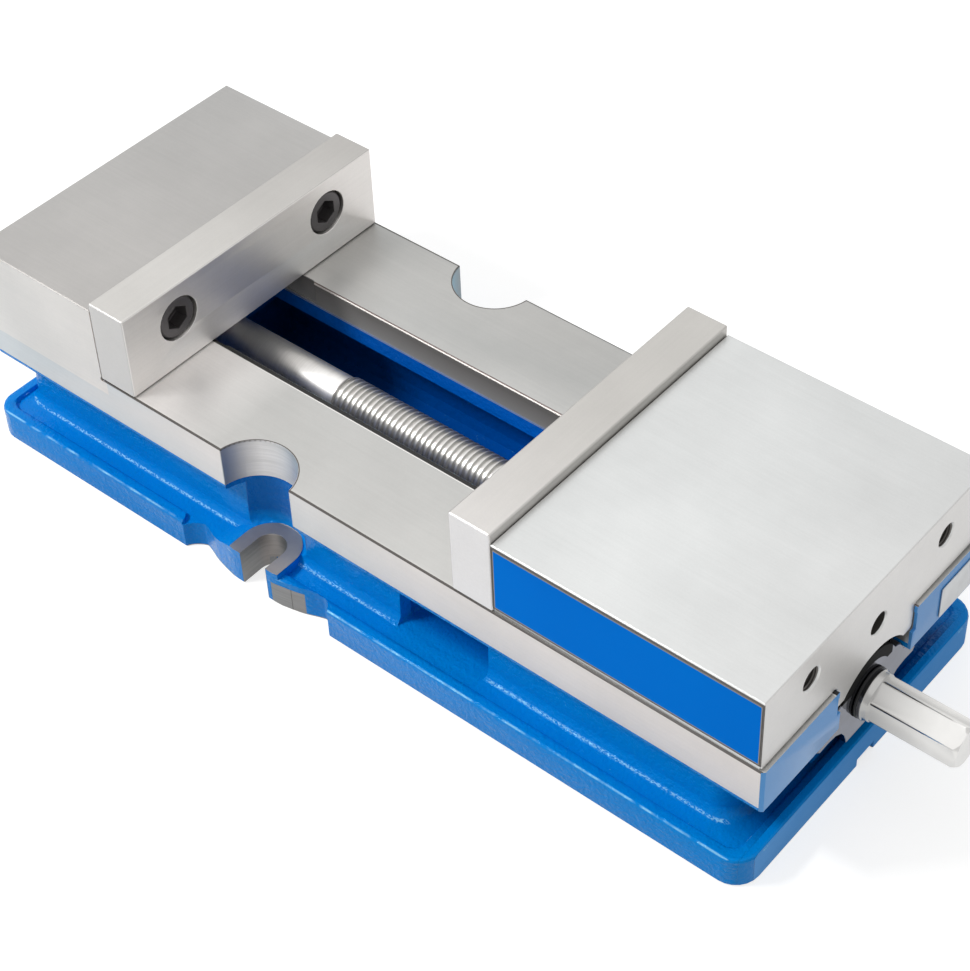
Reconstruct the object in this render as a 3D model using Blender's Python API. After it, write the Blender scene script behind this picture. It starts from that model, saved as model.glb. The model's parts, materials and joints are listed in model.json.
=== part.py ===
"""Precision machine vise with an 8 inch jaw, shown fully open.

The base and the fixed jaw block are one casting. The moving jaw slides on the ground bed,
guided by a tongue in the bed's slot. A nut on the lead screw reaches up into the moving jaw
and pulls it forward and down through a half ball. The screw is held at the front bulkhead
between a thrust bearing and a retainer plate, and turns in a bush under the fixed jaw.

Shapes are drawn with X from the fixed plate's working face towards the hexagon end, Y across
the jaws and Z up from the ground bed. The finished pieces are then moved together, so that
the origin is under the middle of the whole vise, on the surface it stands on.
"""

import math

import bmesh
import bpy
from mathutils import Matrix, Vector

# All sizes are in metres.

# Fits
GAP = 0.0003
SLIDE_CLEARANCE = 0.0004
SHAFT_CLEARANCE = 0.0003

# Jaws and jaw plates
JAW_WIDTH = 0.2032
JAW_OPENING = 0.2361
PLATE_THICKNESS = 0.0272
PLATE_HEIGHT = 0.0559
PLATE_EDGE = 0.0008
FIXED_BLOCK_LENGTH = 0.0941
FIXED_BLOCK_HEIGHT = 0.0508
MOVING_BLOCK_LENGTH = 0.1670
MOVING_BLOCK_HEIGHT = 0.0497
BLOCK_EDGE = 0.0006
CORNER_RELIEF_RADIUS = 0.0015

# Jaw plate screws
PLATE_SCREW_MARGIN = 0.0403
PLATE_SCREW_HEIGHT = 0.0327
SCREW_HEAD_RADIUS = 0.0135
SCREW_HEAD_LENGTH = 0.0175
SCREW_HEAD_EDGE = 0.0012
SCREW_SHANK_RADIUS = 0.0088
SCREW_REACH = 0.0380
SCREW_SOCKET_FLATS = 0.0140
SCREW_SOCKET_DEPTH = 0.0090
COUNTERBORE_DEPTH = 0.0190
COUNTERBORE_CLEARANCE = 0.0007

# Ground bed and slot
BED_HEIGHT = 0.0875
SLAB_DEPTH = 0.0310
SLAB_LOWER_RADIUS = 0.0036
BED_SIDE_CHAMFER = 0.0010
BED_CORNER_CHAMFER = 0.0020
BED_FRONT_REACH = 0.0020
SLOT_HALF_WIDTH = 0.0357
SLOT_DEPTH = 0.0180
SLOT_LAND_DEPTH = 0.0050
SLOT_RELIEF = 0.0008
SLOT_EDGE = 0.0008
SLOT_REAR_REACH = 0.0340
SLOT_MOUTH_HALF_WIDTH = 0.0373
SLOT_MOUTH_LENGTH = 0.0094
SLOT_MOUTH_RADIUS = 0.0020
LEDGE_HALF_WIDTH = 0.0335
LEDGE_DEPTH = 0.0260
CHANNEL_WALL = 0.0356
CHANNEL_SHOULDER_DEPTH = 0.0380
CHANNEL_DEPTH = 0.0720
CHANNEL_FILLET = 0.0090

# Painted base
FLANGE_WIDTH = 0.2240
FLANGE_REAR_REACH = 0.0032
FLANGE_FRONT_REACH = 0.0008
FLANGE_HEIGHT = 0.0205
FLANGE_FRONT_RADIUS = 0.0150
FLANGE_REAR_RADIUS = 0.0130
FLANGE_FOOT_CHAMFER = 0.0008
RIM_SIDE = 0.0070
RIM_FRONT = 0.0095
RIM_REAR = 0.0095
RIM_ROUND = 0.0018
TROUGH_DEPTH = 0.0030
TROUGH_SIDE = 0.0154
WALL_INSET_FRONT = 0.0227
WALL_INSET_REAR = 0.0050
WALL_CORNER_RADIUS = 0.0150
WALL_DRAFT = 0.0012
WALL_FOOT_FILLET = 0.0070

# Clamp lugs with their U slots and the notches above them
LUG_X = 0.0935
LUG_CENTRE_DEPTH = 0.0142
LUG_RADIUS = 0.0186
LUG_HEIGHT = 0.0245
CLAMP_SLOT_RADIUS = 0.0098
NOTCH_OFFSET = 0.0066
NOTCH_RADIUS = 0.0261
NOTCH_FOOT_FILLET = 0.0040
SADDLE_TOP_DROP = 0.0011
SADDLE_REACH = 0.0440
SADDLE_TOP_REACH = 0.0200
RIM_END_REACH = 0.0570
RIM_END_ROUND_X = 0.0090
RIM_END_ROUND_Y = 0.0085
SCALLOP_DEPTH = 0.0080
SCALLOP_NEAR_LUG = 0.0125
SCALLOP_DEEPEST = 0.0480
SCALLOP_END = 0.0568

# Hollow in each side wall
WALL_HOLLOW_START = 0.1860
WALL_HOLLOW_LENGTH = 0.0630
WALL_HOLLOW_DEPTH = 0.0170
WALL_HOLLOW_RADIUS = 0.0110

# Keyways milled in the underside
KEYWAY_WIDTH = 0.0160
KEYWAY_DEPTH = 0.0060

# Lead screw
SCREW_DEPTH = 0.0357
JOURNAL_RADIUS = 0.0125
THREAD_RADIUS = 0.0140
THREAD_START = 0.0610
THREAD_END = 0.3660
THREAD_LEAD_IN = 0.0025
TAIL_REACH = 0.0600
TAIL_CHAMFER = 0.0010
HUB_RADIUS = 0.0148
HUB_LENGTH = 0.0052
HUB_NOSE_RADIUS = 0.0140
HUB_EDGE = 0.0006
HEX_RUNOUT = 0.0016
NECK_LENGTH = 0.0010
HEX_FLATS = 0.0232
HEX_CORNER_RADIUS = 0.0132
HEX_LENGTH = 0.0510
HEX_CHAMFER = 0.0024

# Bearings
BULKHEAD_THICKNESS = 0.0350
BULKHEAD_TOP_RADIUS = 0.0330
BULKHEAD_TOP_DEPTH = 0.0380
BOSS_HALF_WIDTH = 0.0400
BOSS_DEPTH = 0.0640
THRUST_POCKET_DEPTH = 0.0072
THRUST_POCKET_RADIUS = 0.0200
WASHER_THICKNESS = 0.0030
WASHER_RADIUS = 0.0195
BEARING_THICKNESS = 0.0050
BEARING_RADIUS = 0.0190
ROLLER_COUNT = 18
ROLLER_POCKET_LENGTH = 0.0042
ROLLER_POCKET_WIDTH = 0.0022
THRUST_COLLAR_LENGTH = 0.0130
THRUST_COLLAR_RADIUS = 0.0190
COLLAR_PIN_RADIUS = 0.0025
BUSH_WALL = 0.0030
TAIL_BUSH_LENGTH = 0.0250
TAIL_WALL = 0.0300

# Retainer plate and seal ring at the front end
RETAINER_THICKNESS = 0.0077
RETAINER_SETBACK = 0.0017
RETAINER_TOP_RADIUS = 0.0275
RETAINER_EAR_SPREAD = 0.0458
RETAINER_EAR_DEPTH = 0.0415
RETAINER_FOOT_HALF_WIDTH = 0.0176
RETAINER_FOOT_DEPTH = 0.0605
RETAINER_FOOT_CLEARANCE = 0.0015
RETAINER_BORE_CLEARANCE = 0.0007
SEAL_RING_THICKNESS = 0.0014

# Tongue of the moving jaw
TONGUE_DEPTH = 0.0160
ARCH_RADIUS = 0.0365
ARCH_DEPTH = 0.0400
SIDE_SEAM_HEIGHT = 0.0037
SIDE_SEAM_DEPTH = 0.0010
END_SEAM_HEIGHT = 0.0015
END_SEAM_DEPTH = 0.0012

# Nut, half ball and set screw inside the moving jaw
NUT_START = 0.3030
NUT_LENGTH = 0.0640
NUT_HALF_WIDTH = 0.0260
NUT_BOTTOM_DEPTH = 0.0600
NUT_SHOULDER_DEPTH = 0.0180
NUT_TOP_DEPTH = 0.0090
NUT_TOP_HALF_WIDTH = 0.0170
TOWER_HALF_WIDTH = 0.0165
TOWER_HEIGHT = 0.0270
TOWER_SLOPE_DEGREES = 23.6
TOWER_REAR_LENGTH = 0.0507
BALL_RADIUS = 0.0120
BALL_CENTRE_X = 0.3160
BALL_CENTRE_HEIGHT = 0.0120
JAW_POCKET_HEIGHT = 0.0300
JAW_POCKET_CLEARANCE = 0.0010
JAW_POCKET_REAR = 0.0040
SET_SCREW_RADIUS = 0.0064
SET_SCREW_LENGTH = 0.0280
SET_SCREW_SOCKET_FLATS = 0.0060
SET_SCREW_SOCKET_DEPTH = 0.0060

# Threaded holes in the moving jaw's end face
END_HOLE_MARGIN = 0.0406
END_HOLE_HEIGHT = 0.0307
END_HOLE_RADIUS = 0.0068
END_HOLE_CHAMFER = 0.0009
END_HOLE_DEPTH = 0.0300
MIDDLE_HOLE_HEIGHT = 0.0170

# Label panel on the near side of the moving jaw and bare plate on the end face
PANEL_THICKNESS = 0.0007
PANEL_MARGIN = 0.0012
PANEL_LOW = 0.0047
PANEL_HIGH = 0.0470
ID_PLATE_THICKNESS = 0.0005
ID_PLATE_WIDTH = 0.0382
ID_PLATE_MARGIN = 0.0036
ID_PLATE_TOP_DEPTH = 0.0073
ID_PLATE_BOTTOM_DEPTH = 0.0288
ID_PLATE_CORNER = 0.0012

# Places that follow from the sizes above
JAW_HALF = JAW_WIDTH / 2
PLATE_SCREW_SPREAD = JAW_HALF - PLATE_SCREW_MARGIN
END_HOLE_SPREAD = JAW_HALF - END_HOLE_MARGIN
FIXED_BLOCK_FRONT = -PLATE_THICKNESS
BED_REAR = FIXED_BLOCK_FRONT - FIXED_BLOCK_LENGTH
MOVING_BLOCK_REAR = JAW_OPENING + PLATE_THICKNESS + GAP
JAW_FRONT = MOVING_BLOCK_REAR + MOVING_BLOCK_LENGTH
BED_FRONT = JAW_FRONT + BED_FRONT_REACH
FLANGE_REAR = BED_REAR - FLANGE_REAR_REACH
FLANGE_FRONT = JAW_FRONT + FLANGE_FRONT_REACH
FLANGE_HALF = FLANGE_WIDTH / 2
WALL_HALF = FLANGE_HALF - RIM_SIDE - TROUGH_SIDE
CHANNEL_HALF_WIDTH = WALL_HALF - CHANNEL_WALL
LUG_CENTRE_Y = FLANGE_HALF - LUG_CENTRE_DEPTH
NOTCH_CENTRE_Y = LUG_CENTRE_Y + NOTCH_OFFSET
RIM_TOP = FLANGE_HEIGHT - BED_HEIGHT
TROUGH_FLOOR = RIM_TOP - TROUGH_DEPTH
LUG_TOP = LUG_HEIGHT - BED_HEIGHT
SCREW_Z = -SCREW_DEPTH
RETAINER_FRONT = JAW_FRONT - RETAINER_SETBACK
BULKHEAD_FRONT = RETAINER_FRONT - RETAINER_THICKNESS - GAP
BULKHEAD_REAR = BULKHEAD_FRONT - BULKHEAD_THICKNESS
THRUST_FACE = BULKHEAD_REAR + THRUST_POCKET_DEPTH
FRONT_WASHER_X = THRUST_FACE - GAP - WASHER_THICKNESS
BEARING_X = FRONT_WASHER_X - GAP - BEARING_THICKNESS
REAR_WASHER_X = BEARING_X - GAP - WASHER_THICKNESS
THRUST_COLLAR_X = REAR_WASHER_X - GAP - THRUST_COLLAR_LENGTH
COLLAR_PIN_X = THRUST_COLLAR_X + THRUST_COLLAR_LENGTH / 2
SEAL_RING_X = RETAINER_FRONT + GAP
HUB_X = SEAL_RING_X + SEAL_RING_THICKNESS + GAP
HEX_X = HUB_X + HUB_LENGTH + NECK_LENGTH
HEX_END = HEX_X + HEX_LENGTH
SHAFT_BORE = JOURNAL_RADIUS + SHAFT_CLEARANCE
BUSH_RADIUS = SHAFT_BORE + BUSH_WALL
BUSH_HOUSING = BUSH_RADIUS + GAP
SLOT_REAR = -SLOT_REAR_REACH
TAIL_BORE_END = SLOT_REAR - TAIL_WALL
TOWER_REAR = BALL_CENTRE_X + TOWER_REAR_LENGTH
JAW_POCKET_END = TOWER_REAR + JAW_POCKET_REAR
SHIFT = Vector((-(FLANGE_REAR + HEX_END) / 2, 0, BED_HEIGHT))

ROUND_STEPS = 40
FINE_STEPS = 28
CORNER_STEPS = 6


def clear_scene():
    for obj in list(bpy.data.objects):
        bpy.data.objects.remove(obj)


def finish_material(name, colour, roughness, metallic):
    material = bpy.data.materials.new(name)
    material.use_nodes = True
    shader = material.node_tree.nodes["Principled BSDF"]
    shader.inputs["Base Color"].default_value = (*colour, 1)
    shader.inputs["Roughness"].default_value = roughness
    shader.inputs["Metallic"].default_value = metallic
    material.diffuse_color = (*colour, 1)
    return material


def object_from(bm, name="shape"):
    """An object with the bmesh's geometry, faces pointing outwards."""
    bmesh.ops.recalc_face_normals(bm, faces=bm.faces)
    mesh = bpy.data.meshes.new(name)
    bm.to_mesh(mesh)
    bm.free()
    obj = bpy.data.objects.new(name, mesh)
    bpy.context.scene.collection.objects.link(obj)
    return obj


def prism(outline, axis, low, high):
    """A flat outline extruded along an axis. The outline's two coordinates are the other two axes in order."""
    bm = bmesh.new()
    order = {"x": (None, 0, 1), "y": (0, None, 1), "z": (0, 1, None)}[axis]
    corners = []
    for point in outline:
        place = [low if i is None else point[i] for i in order]
        corners.append(bm.verts.new(place))
    face = bm.faces.new(corners)
    grown = bmesh.ops.extrude_face_region(bm, geom=[face])
    moved = [v for v in grown["geom"] if isinstance(v, bmesh.types.BMVert)]
    step = Vector([high - low if i is None else 0 for i in order])
    bmesh.ops.translate(bm, verts=moved, vec=step)
    bmesh.ops.recalc_face_normals(bm, faces=bm.faces)
    return bm


def block(x_range, y_range, z_range):
    (x0, x1), (y0, y1), (z0, z1) = x_range, y_range, z_range
    return prism([(x0, y0), (x1, y0), (x1, y1), (x0, y1)], "z", z0, z1)


def soften(bm, width, segments, chosen):
    """Rounds or chamfers the edges whose middle the test picks."""
    edges = []
    for edge in bm.edges:
        a, b = (v.co for v in edge.verts)
        if chosen((a + b) / 2, b - a):
            edges.append(edge)
    bmesh.ops.bevel(
        bm, geom=edges, offset=width, segments=segments, profile=0.5,
        affect="EDGES", material=-1, clamp_overlap=True,
    )
    return bm


def turned(profile, y, z, steps=ROUND_STEPS):
    """A profile of (x, radius) points turned about an axis along X."""
    bm = bmesh.new()
    verts = [bm.verts.new((x, y, z + radius)) for x, radius in profile]
    edges = [bm.edges.new(pair) for pair in zip(verts, verts[1:])]
    bmesh.ops.spin(
        bm, geom=verts + edges, cent=(0, y, z), axis=(1, 0, 0),
        angle=2 * math.pi, steps=steps, use_merge=True,
    )
    bmesh.ops.remove_doubles(bm, verts=bm.verts, dist=1e-6)
    bmesh.ops.recalc_face_normals(bm, faces=bm.faces)
    return bm


def ring(x0, x1, inner, outer, chamfer, steps=ROUND_STEPS):
    """A turned ring about the screw's axis, with its outer edges chamfered."""
    profile = [
        (x0, inner), (x0, outer - chamfer), (x0 + chamfer, outer),
        (x1 - chamfer, outer), (x1, outer - chamfer), (x1, inner), (x0, inner),
    ]
    return turned(profile, 0, SCREW_Z, steps)


def rod(x0, x1, radius, y, z, steps=FINE_STEPS):
    return turned([(x0, 0), (x0, radius), (x1, radius), (x1, 0)], y, z, steps)


def hexagon(flats, x0, x1, y, z):
    """A hexagonal bar along X with one corner straight up."""
    corner = flats / math.sqrt(3)
    turns = [math.radians(60 * i) for i in range(6)]
    return prism([(y + corner * math.sin(t), z + corner * math.cos(t)) for t in turns], "x", x0, x1)


def upright(x, y, radius, z0, z1, steps=ROUND_STEPS):
    """A cylinder along Z."""
    turns = [2 * math.pi * i / steps for i in range(steps)]
    return prism([(x + radius * math.cos(t), y + radius * math.sin(t)) for t in turns], "z", z0, z1)


def rounded(points, radius, steps=4):
    """A closed outline with each corner replaced by an arc of about that radius."""
    made = []
    count = len(points)
    for i, point in enumerate(points):
        here = Vector(point)
        back = Vector(points[i - 1]) - here
        ahead = Vector(points[(i + 1) % count]) - here
        half = back.angle(ahead) / 2
        reach = min(radius / math.tan(half), back.length * 0.45, ahead.length * 0.45)
        start = here + back.normalized() * reach
        end = here + ahead.normalized() * reach
        for k in range(steps + 1):
            t = k / steps
            made.append(tuple((1 - t) ** 2 * start + 2 * t * (1 - t) * here + t * t * end))
    return made


def flowing(points, steps=4):
    """A smooth line through the points."""
    made = []
    ends = [points[0], *points, points[-1]]
    for a, b, c, d in zip(ends, ends[1:], ends[2:], ends[3:]):
        a, b, c, d = (Vector(p) for p in (a, b, c, d))
        for k in range(steps):
            t = k / steps
            made.append(tuple(0.5 * (
                2 * b + (c - a) * t + (2 * a - 5 * b + 4 * c - d) * t * t
                + (3 * b - a - 3 * c + d) * t ** 3
            )))
    made.append(tuple(points[-1]))
    return made


def rounded_rectangle(rear, front, half, rear_radius, front_radius):
    """Corner points of a rectangle in X and Y with round corners, always the same number of them."""
    corners = [
        (front - front_radius, half - front_radius, front_radius, 0),
        (rear + rear_radius, half - rear_radius, rear_radius, 90),
        (rear + rear_radius, rear_radius - half, rear_radius, 180),
        (front - front_radius, front_radius - half, front_radius, 270),
    ]
    made = []
    for x, y, radius, start in corners:
        for k in range(CORNER_STEPS + 1):
            turn = math.radians(start + 90 * k / CORNER_STEPS)
            made.append((x + radius * math.cos(turn), y + radius * math.sin(turn)))
    return made


def stacked(levels):
    """A closed skin over a stack of outlines, each a (points, height) pair with as many points."""
    bm = bmesh.new()
    loops = [[bm.verts.new((x, y, z)) for x, y in points] for points, z in levels]
    for lower, upper in zip(loops, loops[1:]):
        for i in range(len(lower)):
            bm.faces.new((lower[i - 1], lower[i], upper[i], upper[i - 1]))
    bm.faces.new(loops[0])
    bm.faces.new(loops[-1])
    bmesh.ops.recalc_face_normals(bm, faces=bm.faces)
    return bm


def mirrored(bm):
    """The same shape on the other side of the X axis."""
    copy = bm.copy()
    bmesh.ops.transform(copy, matrix=Matrix.Diagonal((1, -1, 1, 1)), verts=copy.verts)
    bmesh.ops.reverse_faces(copy, faces=copy.faces)
    return copy


def together(*shapes):
    """Separate shapes as one bmesh."""
    whole = bmesh.new()
    for shape in shapes:
        mesh = bpy.data.meshes.new("piece")
        shape.to_mesh(mesh)
        whole.from_mesh(mesh)
        bpy.data.meshes.remove(mesh)
        shape.free()
    return whole


def both_sides(bm):
    other = mirrored(bm)
    return together(bm, other)


def combine(obj, bm, operation):
    tool = object_from(bm, "tool")
    tool.hide_render = True
    tool.display_type = "WIRE"
    modifier = obj.modifiers.new(operation.title(), "BOOLEAN")
    modifier.operation = operation
    modifier.solver = "EXACT"
    modifier.object = tool
    graph = bpy.context.evaluated_depsgraph_get()
    mesh = bpy.data.meshes.new_from_object(obj.evaluated_get(graph))
    obj.modifiers.clear()
    old = obj.data
    obj.data = mesh
    bpy.data.meshes.remove(old)
    used = tool.data
    bpy.data.objects.remove(tool)
    bpy.data.meshes.remove(used)
    bm = bmesh.new()
    bm.from_mesh(mesh)
    bmesh.ops.remove_doubles(bm, verts=bm.verts, dist=2e-6)
    bmesh.ops.dissolve_degenerate(bm, edges=bm.edges, dist=2e-6)
    bm.to_mesh(mesh)
    bm.free()


def add(obj, bm):
    combine(obj, bm, "UNION")


def cut(obj, bm):
    combine(obj, bm, "DIFFERENCE")


def keep_common(obj, bm):
    combine(obj, bm, "INTERSECT")


def complete(obj, name, material, origin=(0, 0, 0)):
    """Names the piece, gives it its finish and puts its origin where it turns or rests."""
    bm = bmesh.new()
    bm.from_mesh(obj.data)
    bmesh.ops.dissolve_degenerate(bm, edges=bm.edges, dist=2e-6)
    bmesh.ops.remove_doubles(bm, verts=bm.verts, dist=1e-6)
    bmesh.ops.translate(bm, verts=bm.verts, vec=-Vector(origin))
    bmesh.ops.triangulate(bm, faces=bm.faces)
    bm.to_mesh(obj.data)
    bm.free()
    obj.location = Vector(origin) + SHIFT
    obj.name = name
    obj.data.name = name
    obj.data.materials.clear()
    obj.data.materials.append(material)
    obj.data.shade_smooth()
    obj.data.set_sharp_from_angle(angle=math.radians(28))
    return obj


def base_shape():
    """The painted foot: a flange with a raised rim, a shallow trough inside it and the walls."""
    wall_rear = BED_REAR + WALL_INSET_REAR
    wall_front = JAW_FRONT - WALL_INSET_FRONT

    def outer(inset, z):
        front = FLANGE_FRONT_RADIUS - inset
        rear = FLANGE_REAR_RADIUS - inset
        shape = rounded_rectangle(
            FLANGE_REAR + inset, FLANGE_FRONT - inset, FLANGE_HALF - inset, rear, front
        )
        return shape, z

    def inner(inset, z):
        # The rim's inner line, whose distance from the outer one differs by side.
        rear_rim = min(RIM_REAR, wall_rear - FLANGE_REAR - 0.0015)
        shape = rounded_rectangle(
            FLANGE_REAR + rear_rim + inset * 0.3, FLANGE_FRONT - RIM_FRONT - inset,
            FLANGE_HALF - RIM_SIDE - inset, FLANGE_REAR_RADIUS * 0.6, FLANGE_FRONT_RADIUS * 0.5,
        )
        return shape, z

    def wall(outset, z):
        shape = rounded_rectangle(
            wall_rear - min(outset, 0.0010), wall_front + outset, WALL_HALF + outset,
            WALL_CORNER_RADIUS, WALL_CORNER_RADIUS,
        )
        return shape, z

    fillet = WALL_FOOT_FILLET
    levels = [
        outer(FLANGE_FOOT_CHAMFER, -BED_HEIGHT),
        outer(0, FLANGE_FOOT_CHAMFER - BED_HEIGHT),
        outer(0, RIM_TOP - RIM_ROUND),
        outer(RIM_ROUND * 0.29, RIM_TOP - RIM_ROUND * 0.29),
        outer(RIM_ROUND, RIM_TOP),
        inner(-RIM_ROUND * 0.6, RIM_TOP),
        inner(0, RIM_TOP - RIM_ROUND * 0.3),
        inner(RIM_ROUND * 0.5, TROUGH_FLOOR + RIM_ROUND * 0.4),
        inner(RIM_ROUND, TROUGH_FLOOR),
        wall(WALL_DRAFT + fillet, TROUGH_FLOOR + 0.0002),
        wall(WALL_DRAFT + fillet * 0.62, TROUGH_FLOOR + fillet * 0.08),
        wall(WALL_DRAFT + fillet * 0.29, TROUGH_FLOOR + fillet * 0.29),
        wall(WALL_DRAFT + fillet * 0.08, TROUGH_FLOOR + fillet * 0.62),
        wall(WALL_DRAFT, TROUGH_FLOOR + fillet),
        wall(0, -SLAB_DEPTH * 0.7),
    ]
    return stacked(levels)


def wall_hollow():
    start = WALL_HOLLOW_START
    end = start + WALL_HOLLOW_LENGTH
    back = WALL_HALF - WALL_HOLLOW_DEPTH
    front = WALL_HALF + 1.9 * WALL_FOOT_FILLET
    outline = [(start, front), (start, back), (end, back), (end, front)]
    shape = prism(rounded(outline, WALL_HOLLOW_RADIUS, 5), "z", TROUGH_FLOOR + 0.0004, 0)
    return soften(
        shape, WALL_FOOT_FILLET * 0.7, 3,
        lambda middle, along: middle.z < TROUGH_FLOOR + 0.001 and middle.y < front - 0.002,
    )


def slab_shape():
    """The ground bed and the fixed jaw block, one profile drawn from the side."""
    profile = [
        (BED_REAR, -SLAB_DEPTH), (BED_FRONT, -SLAB_DEPTH), (BED_FRONT, 0),
        (FIXED_BLOCK_FRONT, 0), (FIXED_BLOCK_FRONT, FIXED_BLOCK_HEIGHT),
        (BED_REAR, FIXED_BLOCK_HEIGHT),
    ]
    shape = prism(profile, "y", -JAW_HALF, JAW_HALF)
    soften(
        shape, BED_CORNER_CHAMFER, 1,
        lambda middle, along: abs(along.z) > 0.005 and middle.x > BED_FRONT - 1e-5,
    )
    soften(
        shape, BED_SIDE_CHAMFER, 1,
        lambda middle, along: abs(along.x) > 0.05 and abs(middle.z) < 1e-5,
    )
    soften(
        shape, SLAB_LOWER_RADIUS, 3,
        lambda middle, along: abs(along.x) > 0.05 and middle.z < 1e-5 - SLAB_DEPTH,
    )
    return soften(
        shape, BLOCK_EDGE, 1,
        lambda middle, along: middle.z > FIXED_BLOCK_HEIGHT - 1e-5,
    )


def notch():
    """The round relief that a clamp bolt's nut and washer drop into."""
    floor = LUG_TOP - SADDLE_TOP_DROP
    shape = upright(LUG_X, NOTCH_CENTRE_Y, NOTCH_RADIUS, floor, 0.002, 56)
    return soften(
        shape, NOTCH_FOOT_FILLET, 3, lambda middle, along: middle.z < floor + 1e-5
    )


def rim_end():
    """What is taken off the rim behind the lug, so that the rim ends in a round corner there."""
    inner = FLANGE_HALF - RIM_SIDE - RIM_ROUND
    start = LUG_X - RIM_END_REACH
    centre = (start - RIM_END_ROUND_X, FLANGE_HALF)
    outline = [(LUG_X, FLANGE_HALF + 0.002), (LUG_X, inner), (centre[0], inner)]
    for k in range(7):
        turn = math.radians(90 - 90 * k / 6)
        outline.append((
            centre[0] + RIM_END_ROUND_X * math.cos(turn), centre[1] - RIM_END_ROUND_Y * math.sin(turn)
        ))
    outline.append((start, FLANGE_HALF + 0.002))
    return prism(outline, "z", TROUGH_FLOOR + 0.0001, RIM_TOP + 0.001)


def saddle():
    """The trough's floor rising to the lug from behind."""
    top = LUG_TOP - SADDLE_TOP_DROP
    low = TROUGH_FLOOR - 0.006
    behind = LUG_X - SADDLE_REACH
    outline = [
        (behind, low), (LUG_X, low), (LUG_X, top), (LUG_X - SADDLE_TOP_REACH, top),
        (behind + 0.012, TROUGH_FLOOR + 0.0006), (behind, TROUGH_FLOOR - 0.0005),
    ]
    return prism(rounded(outline, 0.016, 5), "y", WALL_HALF - 0.004, FLANGE_HALF - 0.0006)


def lug():
    """A pad round the U slot, open to the side."""
    outline = []
    for k in range(25):
        turn = math.radians(180 * k / 24)
        outline.append((
            LUG_X - LUG_RADIUS * math.cos(turn), LUG_CENTRE_Y - LUG_RADIUS * math.sin(turn)
        ))
    outline.append((LUG_X + LUG_RADIUS, FLANGE_HALF))
    outline.append((LUG_X - LUG_RADIUS, FLANGE_HALF))
    return prism(outline, "z", 0.0012 - BED_HEIGHT, LUG_TOP)


def clamp_slot():
    outline = []
    for k in range(21):
        turn = math.radians(180 * k / 20)
        outline.append((
            LUG_X - CLAMP_SLOT_RADIUS * math.cos(turn),
            LUG_CENTRE_Y - CLAMP_SLOT_RADIUS * math.sin(turn),
        ))
    outline.append((LUG_X + CLAMP_SLOT_RADIUS, FLANGE_HALF + 0.002))
    outline.append((LUG_X - CLAMP_SLOT_RADIUS, FLANGE_HALF + 0.002))
    return prism(outline, "z", -BED_HEIGHT - 0.002, LUG_TOP + 0.002)


def scallop(side):
    """A hollow in the flange's edge beside the lug, on its rear (-1) or front (1) side."""
    edge = FLANGE_HALF
    deep = edge - SCALLOP_DEPTH
    line = [
        (SCALLOP_NEAR_LUG, edge + 0.0002), (SCALLOP_NEAR_LUG + 0.006, edge - 0.0006),
        (SCALLOP_DEEPEST - 0.015, edge - SCALLOP_DEPTH * 0.47), (SCALLOP_DEEPEST - 0.004, deep + 0.0003),
        (SCALLOP_DEEPEST, deep), (SCALLOP_END - 0.003, edge - SCALLOP_DEPTH * 0.5),
        (SCALLOP_END, edge + 0.0005),
    ]
    outline = [(LUG_X + side * x, y) for x, y in flowing(line)]
    outline.append((LUG_X + side * SCALLOP_END, edge + 0.004))
    outline.append((LUG_X + side * SCALLOP_NEAR_LUG, edge + 0.004))
    return prism(outline, "z", -BED_HEIGHT - 0.002, LUG_TOP + 0.002)


def channel():
    """The slot's ground faces above, a cast ledge, and the wider hollow that the screw lies in."""
    half = [
        (LEDGE_HALF_WIDTH, -LEDGE_DEPTH), (LEDGE_HALF_WIDTH + 0.006, -LEDGE_DEPTH - 0.005),
        (CHANNEL_HALF_WIDTH, -CHANNEL_SHOULDER_DEPTH),
        (CHANNEL_HALF_WIDTH, CHANNEL_FILLET - CHANNEL_DEPTH),
        (CHANNEL_HALF_WIDTH - CHANNEL_FILLET * 0.29, CHANNEL_FILLET * 0.29 - CHANNEL_DEPTH),
        (CHANNEL_HALF_WIDTH - CHANNEL_FILLET, -CHANNEL_DEPTH),
    ]
    top = [(SLOT_HALF_WIDTH - 0.0003, 0.0002 - SLOT_DEPTH)]
    right = top + half
    outline = right + [(-y, z) for y, z in reversed(right)]
    return prism(outline, "x", SLOT_REAR, BULKHEAD_REAR)


def slot():
    """The slot's ground lands with their chamfered edges, and the walls milled back below them."""
    wide = SLOT_HALF_WIDTH + SLOT_RELIEF
    outline = [
        (SLOT_HALF_WIDTH + SLOT_EDGE + 0.002, 0.002), (SLOT_HALF_WIDTH, -SLOT_EDGE),
        (SLOT_HALF_WIDTH, -SLOT_LAND_DEPTH),
        (wide, -SLOT_LAND_DEPTH), (wide, -SLOT_DEPTH),
    ]
    outline += [(-y, z) for y, z in reversed(outline)]
    return prism(outline, "x", SLOT_REAR, BED_FRONT + 0.002)


def bulkhead_top():
    """The round housing that the jaw's arch passes over, restored where the slot was milled."""
    low = -SLOT_DEPTH - 0.004
    reach = math.sqrt(BULKHEAD_TOP_RADIUS ** 2 - (BULKHEAD_TOP_DEPTH + low) ** 2)
    start = math.atan2(reach, BULKHEAD_TOP_DEPTH + low)
    outline = []
    for k in range(25):
        turn = start * (1 - 2 * k / 24)
        outline.append((
            BULKHEAD_TOP_RADIUS * math.sin(turn),
            BULKHEAD_TOP_RADIUS * math.cos(turn) - BULKHEAD_TOP_DEPTH,
        ))
    return prism(outline, "x", BULKHEAD_REAR, BULKHEAD_FRONT)


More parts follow.
